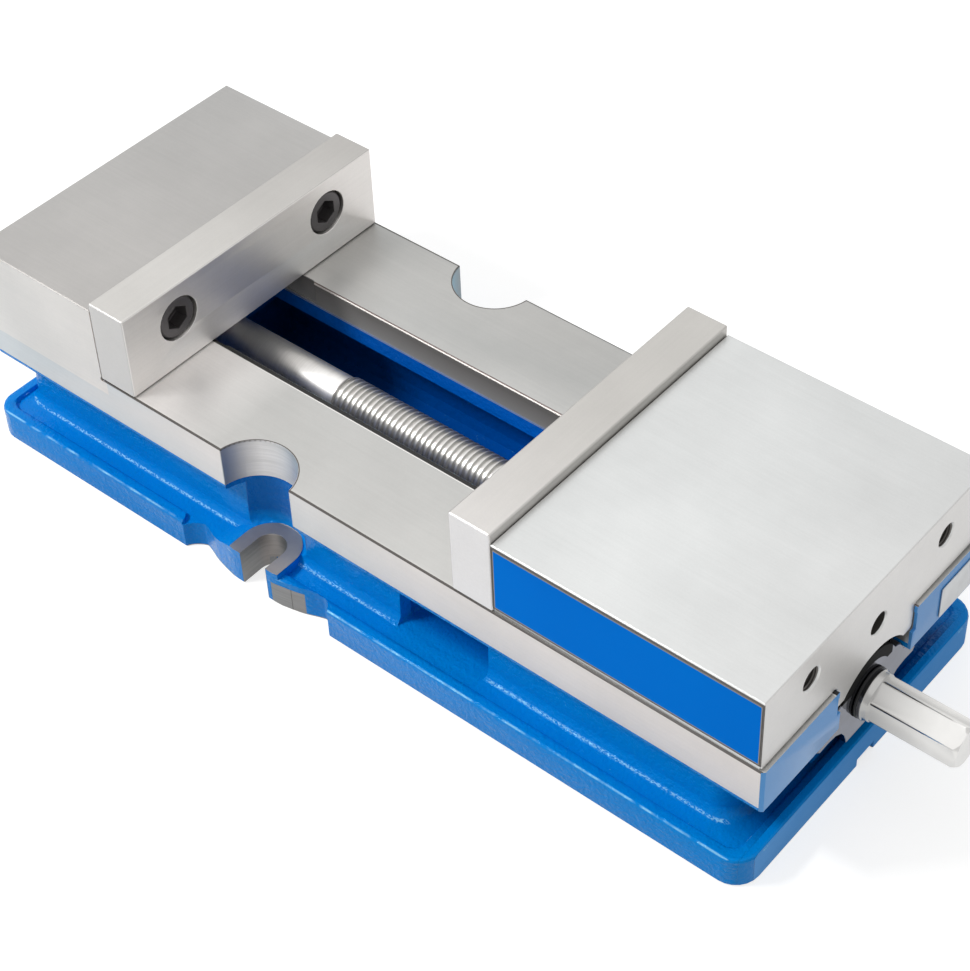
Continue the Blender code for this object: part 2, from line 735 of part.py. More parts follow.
def front_boss():
    """The boss under the bed's end that the retainer plate sits on."""
    outline = [
        (-BOSS_HALF_WIDTH, -BOSS_DEPTH), (BOSS_HALF_WIDTH, -BOSS_DEPTH),
        (BOSS_HALF_WIDTH, -SLOT_DEPTH - 0.004), (-BOSS_HALF_WIDTH, -SLOT_DEPTH - 0.004),
    ]
    return prism(rounded(outline, 0.006, 3), "x", JAW_FRONT - WALL_INSET_FRONT - 0.004, BULKHEAD_FRONT)


def plate_screw_hole(face, direction, side):
    """The tapped hole in a jaw block, entered from its plate's side."""
    depth = SCREW_REACH + 0.004
    radius = SCREW_SHANK_RADIUS + SHAFT_CLEARANCE
    ends = sorted((face - direction * 0.002, face + direction * depth))
    return rod(*ends, radius, side * PLATE_SCREW_SPREAD, PLATE_SCREW_HEIGHT)


def make_body(material):
    body = object_from(base_shape(), "body")
    cut(body, both_sides(wall_hollow()))
    add(body, slab_shape())
    cut(body, both_sides(notch()))
    cut(body, both_sides(rim_end()))
    add(body, both_sides(saddle()))
    add(body, both_sides(lug()))
    cut(body, both_sides(together(scallop(-1), scallop(1))))
    cut(body, both_sides(clamp_slot()))
    add(body, front_boss())
    cut(body, channel())
    cut(body, slot())
    add(body, bulkhead_top())
    cut(body, block(
        (BULKHEAD_FRONT, BED_FRONT + 0.002), (-LEDGE_HALF_WIDTH, LEDGE_HALF_WIDTH),
        (-SLAB_DEPTH - 0.002, 0.001 - SLOT_DEPTH),
    ))
    foot = RETAINER_FOOT_HALF_WIDTH + RETAINER_FOOT_CLEARANCE
    cut(body, block(
        (BULKHEAD_FRONT + GAP / 2, FLANGE_FRONT + 0.002), (-foot, foot),
        (-RETAINER_FOOT_DEPTH - RETAINER_FOOT_CLEARANCE, -SLAB_DEPTH - 0.001),
    ))
    mouth = rounded([
        (FIXED_BLOCK_FRONT + 0.001, -SLOT_MOUTH_HALF_WIDTH), (SLOT_MOUTH_LENGTH, -SLOT_MOUTH_HALF_WIDTH),
        (SLOT_MOUTH_LENGTH, SLOT_MOUTH_HALF_WIDTH), (FIXED_BLOCK_FRONT + 0.001, SLOT_MOUTH_HALF_WIDTH),
    ], SLOT_MOUTH_RADIUS, 4)
    cut(body, prism(mouth, "z", -SLOT_DEPTH + 0.001, 0.002))
    cut(body, together(
        turned([
            (BULKHEAD_REAR - 0.001, 0), (BULKHEAD_REAR - 0.001, THRUST_POCKET_RADIUS),
            (THRUST_FACE, THRUST_POCKET_RADIUS), (THRUST_FACE, BUSH_HOUSING),
            (BULKHEAD_FRONT + 0.001, BUSH_HOUSING), (BULKHEAD_FRONT + 0.001, 0),
        ], 0, SCREW_Z),
        rod(TAIL_BORE_END, SLOT_REAR + 0.001, BUSH_HOUSING, 0, SCREW_Z, ROUND_STEPS),
    ))
    cut(body, together(
        plate_screw_hole(FIXED_BLOCK_FRONT, -1, -1), plate_screw_hole(FIXED_BLOCK_FRONT, -1, 1)
    ))
    lengthways = block(
        (FLANGE_REAR - 0.002, FLANGE_FRONT + 0.002), (-KEYWAY_WIDTH / 2, KEYWAY_WIDTH / 2),
        (-BED_HEIGHT - 0.002, KEYWAY_DEPTH - BED_HEIGHT),
    )
    crossways = block(
        (LUG_X - KEYWAY_WIDTH / 2, LUG_X + KEYWAY_WIDTH / 2), (-FLANGE_HALF - 0.002, FLANGE_HALF + 0.002),
        (-BED_HEIGHT - 0.002, KEYWAY_DEPTH - BED_HEIGHT),
    )
    cut(body, lengthways)
    cut(body, crossways)
    across = JAW_HALF + 0.002
    relief = upright(
        FIXED_BLOCK_FRONT + CORNER_RELIEF_RADIUS * 0.4, 0, CORNER_RELIEF_RADIUS, -across, across, 16
    )
    bmesh.ops.rotate(relief, verts=relief.verts, cent=(0, 0, 0), matrix=Matrix.Rotation(math.pi / 2, 3, "X"))
    cut(body, relief)
    return complete(body, "body", material)


def jaw_plate(name, face, direction, material):
    """A hard plate. Its working face is at that X, and its screws go in along the direction."""
    back = face + direction * PLATE_THICKNESS
    x_range = (min(face, back), max(face, back))
    shape = block(x_range, (-JAW_HALF, JAW_HALF), (GAP, GAP + PLATE_HEIGHT))
    soften(shape, PLATE_EDGE, 1, lambda middle, along: True)
    plate = object_from(shape)
    for side in (-1, 1):
        y = side * PLATE_SCREW_SPREAD
        bore = SCREW_SHANK_RADIUS + SHAFT_CLEARANCE
        pocket = SCREW_HEAD_RADIUS + COUNTERBORE_CLEARANCE
        floor = face + direction * COUNTERBORE_DEPTH
        profile = [
            (face - direction * 0.001, 0), (face - direction * 0.001, pocket), (floor, pocket),
            (floor, bore), (back + direction * 0.001, bore), (back + direction * 0.001, 0),
        ]
        cut(plate, turned(profile, y, PLATE_SCREW_HEIGHT, FINE_STEPS))
    return complete(plate, name, material, (face, 0, GAP))


def cap_screw(name, face, direction, side, material):
    """A socket cap screw whose head sits in the plate's counterbore."""
    seat = face + direction * (COUNTERBORE_DEPTH - GAP)
    top = seat - direction * SCREW_HEAD_LENGTH
    tip = face + direction * (PLATE_THICKNESS + SCREW_REACH)
    y, z = side * PLATE_SCREW_SPREAD, PLATE_SCREW_HEIGHT
    profile = [
        (top, 0), (top, SCREW_HEAD_RADIUS - SCREW_HEAD_EDGE),
        (top + direction * SCREW_HEAD_EDGE, SCREW_HEAD_RADIUS), (seat, SCREW_HEAD_RADIUS),
        (seat, SCREW_SHANK_RADIUS), (tip - direction * 0.0015, SCREW_SHANK_RADIUS),
        (tip, SCREW_SHANK_RADIUS - 0.0015), (tip, 0),
    ]
    screw = object_from(turned(profile, y, z, FINE_STEPS))
    ends = sorted((top - direction * 0.001, top + direction * SCREW_SOCKET_DEPTH))
    cut(screw, hexagon(SCREW_SOCKET_FLATS, *ends, y, z))
    return complete(screw, name, material, (seat, y, z))


def slope_direction():
    """Along the nut's sloped face, upwards, and out of that face."""
    turn = math.radians(TOWER_SLOPE_DEGREES)
    up = Vector((-math.sin(turn), math.cos(turn)))
    out = Vector((-math.cos(turn), -math.sin(turn)))
    return up, out


def sloped_outline(offset, bottom, top, rear):
    """An outline in X and Z whose front is the sloped line through the ball's centre, moved out by offset."""
    up, out = slope_direction()
    centre = Vector((BALL_CENTRE_X, BALL_CENTRE_HEIGHT)) + out * offset
    low = centre + up * ((bottom - centre.y) / up.y)
    high = centre + up * ((top - centre.y) / up.y)
    return [tuple(low), (rear, bottom), (rear, top), tuple(high)]


def ball(radius, steps):
    bm = bmesh.new()
    bmesh.ops.create_uvsphere(bm, u_segments=steps, v_segments=steps // 2, radius=radius)
    bmesh.ops.translate(bm, verts=bm.verts, vec=(BALL_CENTRE_X, 0, BALL_CENTRE_HEIGHT))
    return bm


def make_moving_jaw(material):
    shape = block((MOVING_BLOCK_REAR, JAW_FRONT), (-JAW_HALF, JAW_HALF), (GAP, MOVING_BLOCK_HEIGHT + GAP))
    soften(shape, BLOCK_EDGE, 1, lambda middle, along: middle.z > MOVING_BLOCK_HEIGHT)
    jaw = object_from(shape)
    tongue_half = SLOT_HALF_WIDTH - SLIDE_CLEARANCE
    tongue = block((MOVING_BLOCK_REAR, JAW_FRONT), (-tongue_half, tongue_half), (-TONGUE_DEPTH, 0.004))
    soften(
        tongue, 0.0015, 1,
        lambda middle, along: abs(along.x) > 0.05 and middle.z < 1e-5 - TONGUE_DEPTH,
    )
    add(jaw, tongue)
    cut(jaw, rod(MOVING_BLOCK_REAR - 0.001, JAW_FRONT + 0.001, ARCH_RADIUS, 0, -ARCH_DEPTH, 56))
    pocket_half = TOWER_HALF_WIDTH + JAW_POCKET_CLEARANCE
    pocket = sloped_outline(0.002, -0.009, JAW_POCKET_HEIGHT, JAW_POCKET_END)
    cut(jaw, prism(pocket, "y", -pocket_half, pocket_half))
    cut(jaw, ball(BALL_RADIUS + GAP, 24))
    set_hole = [
        (JAW_POCKET_END - 0.001, 0), (JAW_POCKET_END - 0.001, SET_SCREW_RADIUS + GAP),
        (JAW_FRONT - END_HOLE_CHAMFER, SET_SCREW_RADIUS + GAP),
        (JAW_FRONT + 0.0008, SET_SCREW_RADIUS + GAP + END_HOLE_CHAMFER + 0.0008), (JAW_FRONT + 0.0008, 0),
    ]
    holes = [turned(set_hole, 0, MIDDLE_HOLE_HEIGHT, FINE_STEPS)]
    for side in (-1, 1):
        end_hole = [
            (JAW_FRONT - END_HOLE_DEPTH, 0), (JAW_FRONT - END_HOLE_DEPTH, END_HOLE_RADIUS),
            (JAW_FRONT - END_HOLE_CHAMFER, END_HOLE_RADIUS),
            (JAW_FRONT + 0.0008, END_HOLE_RADIUS + END_HOLE_CHAMFER + 0.0008), (JAW_FRONT + 0.0008, 0),
        ]
        holes.append(turned(end_hole, side * END_HOLE_SPREAD, END_HOLE_HEIGHT, FINE_STEPS))
        holes.append(plate_screw_hole(MOVING_BLOCK_REAR, 1, side))
    cut(jaw, together(*holes))
    seam = block(
        (MOVING_BLOCK_REAR - 0.001, JAW_FRONT + 0.001),
        (JAW_HALF - SIDE_SEAM_DEPTH, JAW_HALF + 0.001), (-0.001, SIDE_SEAM_HEIGHT),
    )
    cut(jaw, both_sides(seam))
    cut(jaw, together(*(
        block(
            (JAW_FRONT - END_SEAM_DEPTH, JAW_FRONT + 0.001),
            sorted((side * (SLOT_HALF_WIDTH + 0.001), side * (JAW_HALF + 0.001))), (-0.001, END_SEAM_HEIGHT),
        ) for side in (-1, 1)
    )))
    low, high = PANEL_LOW - GAP, PANEL_HIGH + GAP
    ends = (MOVING_BLOCK_REAR + PANEL_MARGIN - GAP, JAW_FRONT - PANEL_MARGIN + GAP)
    depth = PANEL_THICKNESS + GAP
    cut(jaw, block(ends, (-JAW_HALF - 0.001, depth - JAW_HALF), (low, high)))
    return complete(jaw, "moving_jaw", material, (MOVING_BLOCK_REAR, 0, 0))


def make_panel(material):
    ends = (MOVING_BLOCK_REAR + PANEL_MARGIN, JAW_FRONT - PANEL_MARGIN)
    panel = object_from(block(ends, (-JAW_HALF, PANEL_THICKNESS - JAW_HALF), (PANEL_LOW, PANEL_HIGH)))
    return complete(panel, "label_panel", material, (ends[0], -JAW_HALF, PANEL_LOW))


def make_id_plate(material):
    far = JAW_HALF - ID_PLATE_MARGIN
    near = far - ID_PLATE_WIDTH
    outline = rounded([
        (near, -ID_PLATE_BOTTOM_DEPTH), (far, -ID_PLATE_BOTTOM_DEPTH),
        (far, -ID_PLATE_TOP_DEPTH), (near, -ID_PLATE_TOP_DEPTH),
    ], ID_PLATE_CORNER, 3)
    face = BED_FRONT + GAP
    plate = object_from(prism(outline, "x", face, face + ID_PLATE_THICKNESS))
    return complete(plate, "id_plate", material, (face, near, -ID_PLATE_BOTTOM_DEPTH))


def make_nut(material):
    outline = [
        (NUT_HALF_WIDTH, -NUT_BOTTOM_DEPTH), (NUT_HALF_WIDTH, -NUT_SHOULDER_DEPTH),
        (NUT_TOP_HALF_WIDTH, -NUT_TOP_DEPTH), (-NUT_TOP_HALF_WIDTH, -NUT_TOP_DEPTH),
        (-NUT_HALF_WIDTH, -NUT_SHOULDER_DEPTH), (-NUT_HALF_WIDTH, -NUT_BOTTOM_DEPTH),
    ]
    nut = object_from(prism(outline, "x", NUT_START, NUT_START + NUT_LENGTH))
    tower = sloped_outline(-GAP, -NUT_TOP_DEPTH - 0.002, TOWER_HEIGHT, TOWER_REAR)
    add(nut, prism(tower, "y", -TOWER_HALF_WIDTH, TOWER_HALF_WIDTH))
    cut(nut, rod(
        NUT_START - 0.001, max(NUT_START + NUT_LENGTH, TOWER_REAR) + 0.001,
        THREAD_RADIUS + SHAFT_CLEARANCE, 0, SCREW_Z, ROUND_STEPS,
    ))
    return complete(nut, "screw_nut", material, (NUT_START, 0, SCREW_Z))


def make_half_ball(material):
    """The half of a ball that lies on the jaw's side of the nut's sloped face."""
    half = object_from(ball(BALL_RADIUS, 24))
    beyond = BALL_RADIUS * 2
    far = sloped_outline(
        0.0, BALL_CENTRE_HEIGHT - beyond, BALL_CENTRE_HEIGHT + beyond, BALL_CENTRE_X + beyond
    )
    cut(half, prism(far, "y", -beyond, beyond))
    return complete(half, "half_ball_segment", material, (BALL_CENTRE_X, 0, BALL_CENTRE_HEIGHT))


def make_set_screw(material):
    start = TOWER_REAR + GAP
    end = start + SET_SCREW_LENGTH
    profile = [
        (start, 0), (start, SET_SCREW_RADIUS - 0.0018), (start + 0.0018, SET_SCREW_RADIUS),
        (end - 0.0008, SET_SCREW_RADIUS), (end, SET_SCREW_RADIUS - 0.0008), (end, 0),
    ]
    screw = object_from(turned(profile, 0, MIDDLE_HOLE_HEIGHT, FINE_STEPS))
    cut(screw, hexagon(
        SET_SCREW_SOCKET_FLATS, end - SET_SCREW_SOCKET_DEPTH, end + 0.001, 0, MIDDLE_HOLE_HEIGHT
    ))
    return complete(screw, "jaw_set_screw", material, (start, 0, MIDDLE_HOLE_HEIGHT))


def make_lead_screw(material):
    """Tail, smooth part, thread at its outer diameter, journal, hub and hexagon end, turned in one piece."""
    tail = -TAIL_REACH
    journal, thread = JOURNAL_RADIUS, THREAD_RADIUS
    inside_hex = HEX_FLATS / 2 - 0.0008
    profile = [
        (tail, 0), (tail, journal - TAIL_CHAMFER), (tail + TAIL_CHAMFER, journal),
        (THREAD_START, journal), (THREAD_START + THREAD_LEAD_IN, thread),
        (THREAD_END - THREAD_LEAD_IN, thread), (THREAD_END, journal),
        (HUB_X, journal), (HUB_X, HUB_RADIUS), (HUB_X + HUB_LENGTH * 0.4, HUB_RADIUS),
        (HUB_X + HUB_LENGTH * 0.6, HUB_NOSE_RADIUS), (HUB_X + HUB_LENGTH, HUB_NOSE_RADIUS),
        (HUB_X + HUB_LENGTH + HUB_EDGE, HUB_NOSE_RADIUS - HUB_EDGE * 0.6), (HEX_X + HEX_RUNOUT, inside_hex),
        (HEX_X + 0.0080, inside_hex), (HEX_X + 0.0080, 0),
    ]
    screw = object_from(turned(profile, 0, SCREW_Z, ROUND_STEPS))
    bar = object_from(hexagon(HEX_FLATS, HEX_X, HEX_END, 0, SCREW_Z))
    envelope = [
        (HEX_X - 0.001, 0), (HEX_X - 0.001, HEX_CORNER_RADIUS),
        (HEX_END - HEX_CHAMFER, HEX_CORNER_RADIUS), (HEX_END + 0.001, HEX_CORNER_RADIUS - HEX_CHAMFER),
        (HEX_END + 0.001, 0),
    ]
    keep_common(bar, turned(envelope, 0, SCREW_Z, 48))
    grown = bmesh.new()
    grown.from_mesh(bar.data)
    bpy.data.objects.remove(bar)
    add(screw, grown)
    cut(screw, pin_shape(COLLAR_PIN_RADIUS + GAP, THRUST_COLLAR_RADIUS + 0.002))
    return complete(screw, "lead_screw", material, (0, 0, SCREW_Z))


def pin_shape(radius, half_length):
    """A pin through the thrust collar, across the screw's axis."""
    shape = upright(COLLAR_PIN_X, 0, radius, -half_length, half_length, 20)
    bmesh.ops.rotate(
        shape, verts=shape.verts, cent=(COLLAR_PIN_X, 0, 0), matrix=Matrix.Rotation(math.pi / 2, 3, "X")
    )
    bmesh.ops.translate(shape, verts=shape.verts, vec=(0, 0, SCREW_Z))
    return shape


def make_thrust_parts(steel, bearing_steel):
    """The stack between the screw and the bulkhead, in order towards the hexagon end."""
    collar = object_from(ring(
        THRUST_COLLAR_X, THRUST_COLLAR_X + THRUST_COLLAR_LENGTH, SHAFT_BORE, THRUST_COLLAR_RADIUS, 0.0010
    ))
    cut(collar, pin_shape(COLLAR_PIN_RADIUS + GAP, THRUST_COLLAR_RADIUS + 0.002))
    complete(collar, "thrust_collar", steel, (THRUST_COLLAR_X, 0, SCREW_Z))
    pin = object_from(pin_shape(COLLAR_PIN_RADIUS, THRUST_COLLAR_RADIUS - 0.0006))
    complete(pin, "collar_pin", steel, (COLLAR_PIN_X, 0, SCREW_Z))
    rear = object_from(ring(
        REAR_WASHER_X, REAR_WASHER_X + WASHER_THICKNESS, SHAFT_BORE, WASHER_RADIUS, 0.0004
    ))
    complete(rear, "thrust_washer_rear", bearing_steel, (REAR_WASHER_X, 0, SCREW_Z))
    cage = object_from(ring(BEARING_X, BEARING_X + BEARING_THICKNESS, SHAFT_BORE, BEARING_RADIUS, 0.0004))
    slots = []
    middle = (SHAFT_BORE + BEARING_RADIUS) / 2
    for k in range(ROLLER_COUNT):
        slot_shape = block(
            (BEARING_X - 0.001, BEARING_X + BEARING_THICKNESS * 0.3),
            (-ROLLER_POCKET_WIDTH / 2, ROLLER_POCKET_WIDTH / 2),
            (SCREW_Z + middle - ROLLER_POCKET_LENGTH / 2, SCREW_Z + middle + ROLLER_POCKET_LENGTH / 2),
        )
        turn = Matrix.Rotation(2 * math.pi * k / ROLLER_COUNT, 3, "X")
        bmesh.ops.rotate(slot_shape, verts=slot_shape.verts, cent=(0, 0, SCREW_Z), matrix=turn)
        slots.append(slot_shape)
    cut(cage, together(*slots))
    complete(cage, "thrust_bearing", bearing_steel, (BEARING_X, 0, SCREW_Z))
    front = object_from(ring(
        FRONT_WASHER_X, FRONT_WASHER_X + WASHER_THICKNESS, SHAFT_BORE, WASHER_RADIUS, 0.0004
    ))
    complete(front, "thrust_washer_front", bearing_steel, (FRONT_WASHER_X, 0, SCREW_Z))


def make_bushes(material):
    tail_start = SLOT_REAR - TAIL_BUSH_LENGTH
    tail = object_from(ring(tail_start, SLOT_REAR, SHAFT_BORE, BUSH_RADIUS, 0.0005))
    complete(tail, "tail_bush", material, (tail_start, 0, SCREW_Z))
    front_start = THRUST_FACE + 0.0008
    front = object_from(ring(front_start, BULKHEAD_FRONT - 0.0005, SHAFT_BORE, BUSH_RADIUS, 0.0005))
    complete(front, "front_bush", material, (front_start, 0, SCREW_Z))


def make_retainer(material):
    """A plate with a round top, two ears and a square foot, which keeps the screw from moving in."""
    side = RETAINER_EAR_SPREAD
    ear = -RETAINER_EAR_DEPTH
    half = [
        (side - 0.0176, SCREW_Z + 0.0118), (side - 0.0146, ear + 0.0152), (side - 0.0128, ear + 0.0096),
        (side - 0.0022, ear + 0.0048), (side, ear - 0.0002), (side - 0.0022, ear - 0.0024),
        (side - 0.0098, ear - 0.0020), (side - 0.0168, ear - 0.0030), (side - 0.0223, ear - 0.0063),
        (RETAINER_FOOT_HALF_WIDTH + 0.0024, ear - 0.0110),
        (RETAINER_FOOT_HALF_WIDTH + 0.0006, ear - 0.0158), (RETAINER_FOOT_HALF_WIDTH, -RETAINER_FOOT_DEPTH),
    ]
    arc = []
    for k in range(15):
        turn = math.radians(-62 + 124 * k / 14)
        arc.append((RETAINER_TOP_RADIUS * math.sin(turn), SCREW_Z + RETAINER_TOP_RADIUS * math.cos(turn)))
    left = [(-y, z) for y, z in reversed(half)]
    outline = arc + half + left
    back = RETAINER_FRONT - RETAINER_THICKNESS
    shape = prism(outline, "x", back, RETAINER_FRONT)
    soften(
        shape, 0.0004, 1,
        lambda middle, along: abs(along.x) < 1e-6 and middle.x > RETAINER_FRONT - 1e-5,
    )
    plate = object_from(shape)
    cut(plate, rod(
        back - 0.001, RETAINER_FRONT + 0.001, JOURNAL_RADIUS + RETAINER_BORE_CLEARANCE, 0, SCREW_Z, ROUND_STEPS
    ))
    return complete(plate, "retainer_plate", material, (back, 0, SCREW_Z))


def make_seal_ring(material):
    seal = object_from(ring(
        SEAL_RING_X, SEAL_RING_X + SEAL_RING_THICKNESS, SHAFT_BORE, HUB_RADIUS + 0.0003, 0.0003
    ))
    return complete(seal, "seal_ring", material, (SEAL_RING_X, 0, SCREW_Z))


def build():
    clear_scene()
    paint = finish_material("blue_paint_and_ground_iron", (0.004, 0.155, 0.630), 0.30, 0.0)
    ground = finish_material("ground_steel", (0.62, 0.61, 0.59), 0.32, 0.9)
    hard = finish_material("hardened_steel", (0.58, 0.57, 0.54), 0.30, 0.9)
    bright = finish_material("turned_steel", (0.60, 0.59, 0.57), 0.24, 1.0)
    black = finish_material("black_oxide_steel", (0.030, 0.030, 0.032), 0.38, 0.6)
    dark = finish_material("polished_dark_steel", (0.21, 0.21, 0.22), 0.16, 1.0)
    rubber = finish_material("black_rubber", (0.012, 0.012, 0.012), 0.55, 0.0)
    bronze = finish_material("bearing_bronze", (0.50, 0.30, 0.11), 0.35, 1.0)
    panel = finish_material("blue_panel", (0.002, 0.120, 0.560), 0.28, 0.0)
    plain = finish_material("bare_aluminium", (0.60, 0.60, 0.60), 0.35, 0.9)

    make_body(paint)
    jaw_plate("fixed_jaw_plate", 0, -1, hard)
    jaw_plate("moving_jaw_plate", JAW_OPENING, 1, hard)
    for side, word in ((-1, "near"), (1, "far")):
        cap_screw(f"fixed_plate_screw_{word}", 0, -1, side, black)
        cap_screw(f"moving_plate_screw_{word}", JAW_OPENING, 1, side, black)
    make_moving_jaw(ground)
    make_panel(panel)
    make_id_plate(plain)
    make_nut(hard)
    make_half_ball(bright)
    make_set_screw(black)
    make_lead_screw(bright)
    make_thrust_parts(bright, hard)
    make_bushes(bronze)
    make_retainer(dark)
    make_seal_ring(rubber)


build()
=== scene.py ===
"""Looks for the machine vise: painted casting, ground jaws and bed, real screw thread, soft studio light."""

import json
import math

import bmesh
import bpy
from mathutils import Matrix, Vector


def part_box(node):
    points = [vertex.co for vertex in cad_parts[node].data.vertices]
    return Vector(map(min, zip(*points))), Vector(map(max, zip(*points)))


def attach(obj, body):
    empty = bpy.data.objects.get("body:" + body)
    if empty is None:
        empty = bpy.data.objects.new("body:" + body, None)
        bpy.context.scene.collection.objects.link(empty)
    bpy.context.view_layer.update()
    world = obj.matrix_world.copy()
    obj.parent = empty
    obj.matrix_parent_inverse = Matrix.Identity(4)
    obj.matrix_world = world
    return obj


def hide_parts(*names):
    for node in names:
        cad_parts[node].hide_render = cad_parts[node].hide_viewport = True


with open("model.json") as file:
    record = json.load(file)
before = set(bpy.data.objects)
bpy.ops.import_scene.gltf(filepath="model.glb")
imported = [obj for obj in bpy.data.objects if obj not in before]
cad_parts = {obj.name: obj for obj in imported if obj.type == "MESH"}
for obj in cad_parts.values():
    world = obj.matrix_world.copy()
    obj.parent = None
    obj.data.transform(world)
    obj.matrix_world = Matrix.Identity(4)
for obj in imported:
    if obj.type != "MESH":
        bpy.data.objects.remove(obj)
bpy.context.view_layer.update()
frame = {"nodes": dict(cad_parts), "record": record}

# The photograph's camera, fitted to the vise's own edges. Lengths in metres.
CAMERA_PLACE = (0.62236, -0.70371, 0.97587)
CAMERA_HEADING = 128.936
CAMERA_DROP = 42.300
CAMERA_ROLL = -0.664
CAMERA_LENS = 86.654
CAMERA_SHIFT = (-0.09016, -0.09765)

# Places on the jaws and the screw that the finishes follow.
PLATE_GAP = 0.0003
BED_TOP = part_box("moving_jaw_plate")[0].z - PLATE_GAP
JAW_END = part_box("moving_jaw")[1].x
JAW_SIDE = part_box("moving_jaw")[1].y
PLATE_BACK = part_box("fixed_jaw_plate")[0].x
PLATE_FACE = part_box("fixed_jaw_plate")[1].x
SCREW_Z = (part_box("lead_screw")[0].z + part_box("lead_screw")[1].z) / 2
HEXAGON_REAR = JAW_END + 0.0060
RINGS_FRONT = 0.215
END_HOLES = (("near", -0.0610, 0.1182), ("far", 0.0610, 0.1182), ("middle", 0.0, 0.1045))
END_HOLE_RADIUS = 0.0072
END_HOLE_REACH = 0.0340

# Places on the casting. Side means the distance from the middle, on both sides alike.
CASTING_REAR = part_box("body")[0].x
BED_END = JAW_END + 0.0020
FRONT_FACES = JAW_END - 0.0048
BED_SIDE = JAW_SIDE - 0.0005
GROUND_BAND = BED_TOP - 0.0274
SLOT_REAR = PLATE_FACE - 0.0342
SLOT_FLOOR = BED_TOP - 0.0180
SLOT_SIDE = 0.0357
CHANNEL_FRONT = JAW_END - 0.0440
CHANNEL_SIDE = 0.0560
CHANNEL_FLOOR = 0.0060
LUG_X = -0.0882
LUG_TOP = 0.0245
LUG_SIDE = 0.0978
LUG_RADIUS = 0.0187
CLAMP_SLOT_HALF = 0.00995
CLAMP_SLOT_SIDE = 0.0870
NOTCH_SIDE = 0.1044
NOTCH_RADIUS = 0.0268
KEY_FACE = (-0.0752, -0.0532)
KEY_FACE_SIDE = 0.1068
KEY_FACE_TOP = 0.0160
KEY_SEAM_X = -0.0617
WALL_SIDE = 0.0896
HOLLOW = (0.0043, 0.0673)
FOOT_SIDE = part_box("body")[1].y
FOOT_FRONT = JAW_END + 0.0002
RIM_TOP = 0.0205
TROUGH_FLOOR = 0.0175

BODY_OF = {
    node: body for body, nodes in frame["record"]["behaviour"]["bodies"].items() for node in nodes
}


# Materials

class Number:
    """A number that varies over a surface. Arithmetic on it adds Math nodes."""

    def __init__(self, finish, socket):
        self.finish = finish
        self.socket = socket

    def __add__(self, other):
        return self.finish.math("ADD", self, other)

    def __sub__(self, other):
        return self.finish.math("SUBTRACT", self, other)

    def __rsub__(self, other):
        return self.finish.math("SUBTRACT", other, self)

    def __mul__(self, other):
        return self.finish.math("MULTIPLY", self, other)

    __radd__ = __add__
    __rmul__ = __mul__

    def __abs__(self):
        return self.finish.math("ABSOLUTE", self)

    def above(self, limit, blur=0.00005):
        """1 where it is over the limit, 0 under it."""
        return self.finish.node("ShaderNodeMapRange", {"clamp": True}, {
            "Value": self, "From Min": limit - blur, "From Max": limit + blur,
        })

    def below(self, limit, blur=0.00005):
        return 1 - self.above(limit, blur)

    def between(self, low, high, blur=0.00005):
        return self.above(low, blur) * self.below(high, blur)

    def ramp(self, low, high):
        return self.finish.node("ShaderNodeMapRange", {"clamp": True}, {
            "Value": self, "From Min": low, "From Max": high,
        })


class Nodes:
    """Adds nodes to a tree and links them up."""

    def __init__(self, tree):
        self.tree = tree

    def connect(self, value, socket):
        if isinstance(value, Number):
            value = value.socket
        if isinstance(value, bpy.types.NodeSocket):
            self.tree.links.new(value, socket)
        elif isinstance(value, tuple) and socket.type == "RGBA":
            socket.default_value = (*value, 1)[:4]
        else:
            socket.default_value = value

    def node(self, kind, settings=None, values=None, output=0):
        made = self.tree.nodes.new(kind)
        for key, value in (settings or {}).items():
            setattr(made, key, value)
        for key, value in (values or {}).items():
            self.connect(value, made.inputs[key])
        return Number(self, made.outputs[output])

    def math(self, operation, *values):
        return self.node("ShaderNodeMath", {"operation": operation}, dict(enumerate(values)))

    def axes(self, kind):
        """The three coordinates of one kind."""
        place = self.node("ShaderNodeTexCoord", None, None, kind)
        parts = self.tree.nodes.new("ShaderNodeSeparateXYZ")
        self.connect(place, parts.inputs[0])
        return place, *(Number(self, out) for out in parts.outputs)

    def mix(self, factor, first, second):
        """Colours mixed by a number."""
        return self.node("ShaderNodeMix", {"data_type": "RGBA"}, {0: factor, 6: first, 7: second}, 2)

    def blend(self, factor, first, second):
        """Numbers mixed by a number."""
        return self.node("ShaderNodeMix", {"data_type": "FLOAT"}, {0: factor, 2: first, 3: second})

    def most(self, *values):
        highest = values[0]
        for value in values[1:]:
            highest = self.math("MAXIMUM", highest, value)
        return highest


class Finish(Nodes):
    """One procedural material on a piece's own Object coordinates."""

    def __init__(self, name):
        self.material = bpy.data.materials.new(name)
        self.material.use_nodes = True
        super().__init__(self.material.node_tree)
        self.shader = self.tree.nodes["Principled BSDF"]
        self.place, self.x, self.y, self.z = self.axes("Object")

    def stretched(self, factors):
        return self.node("ShaderNodeVectorMath", {"operation": "MULTIPLY"}, {0: self.place, 1: factors})

    def noise(self, factors, detail=2.0, roughness=0.5):
        """Noise from 0 to 1, with so many features per metre along each axis."""
        if not isinstance(factors, tuple):
            factors = (factors, factors, factors)
        return self.node("ShaderNodeTexNoise", {"noise_dimensions": "3D"}, {
            "Vector": self.stretched(factors), "Scale": 1.0, "Detail": detail, "Roughness": roughness,
        })

    def distance(self, across, along):
        return self.math("SQRT", across * across + along * along)

    def bump(self, height, distance):
        return self.node("ShaderNodeBump", None, {"Height": height, "Distance": distance, "Strength": 1.0})

    def show(self, **values):
        for key, value in values.items():
            self.connect(value, self.shader.inputs[key.replace("_", " ")])
        return self.material


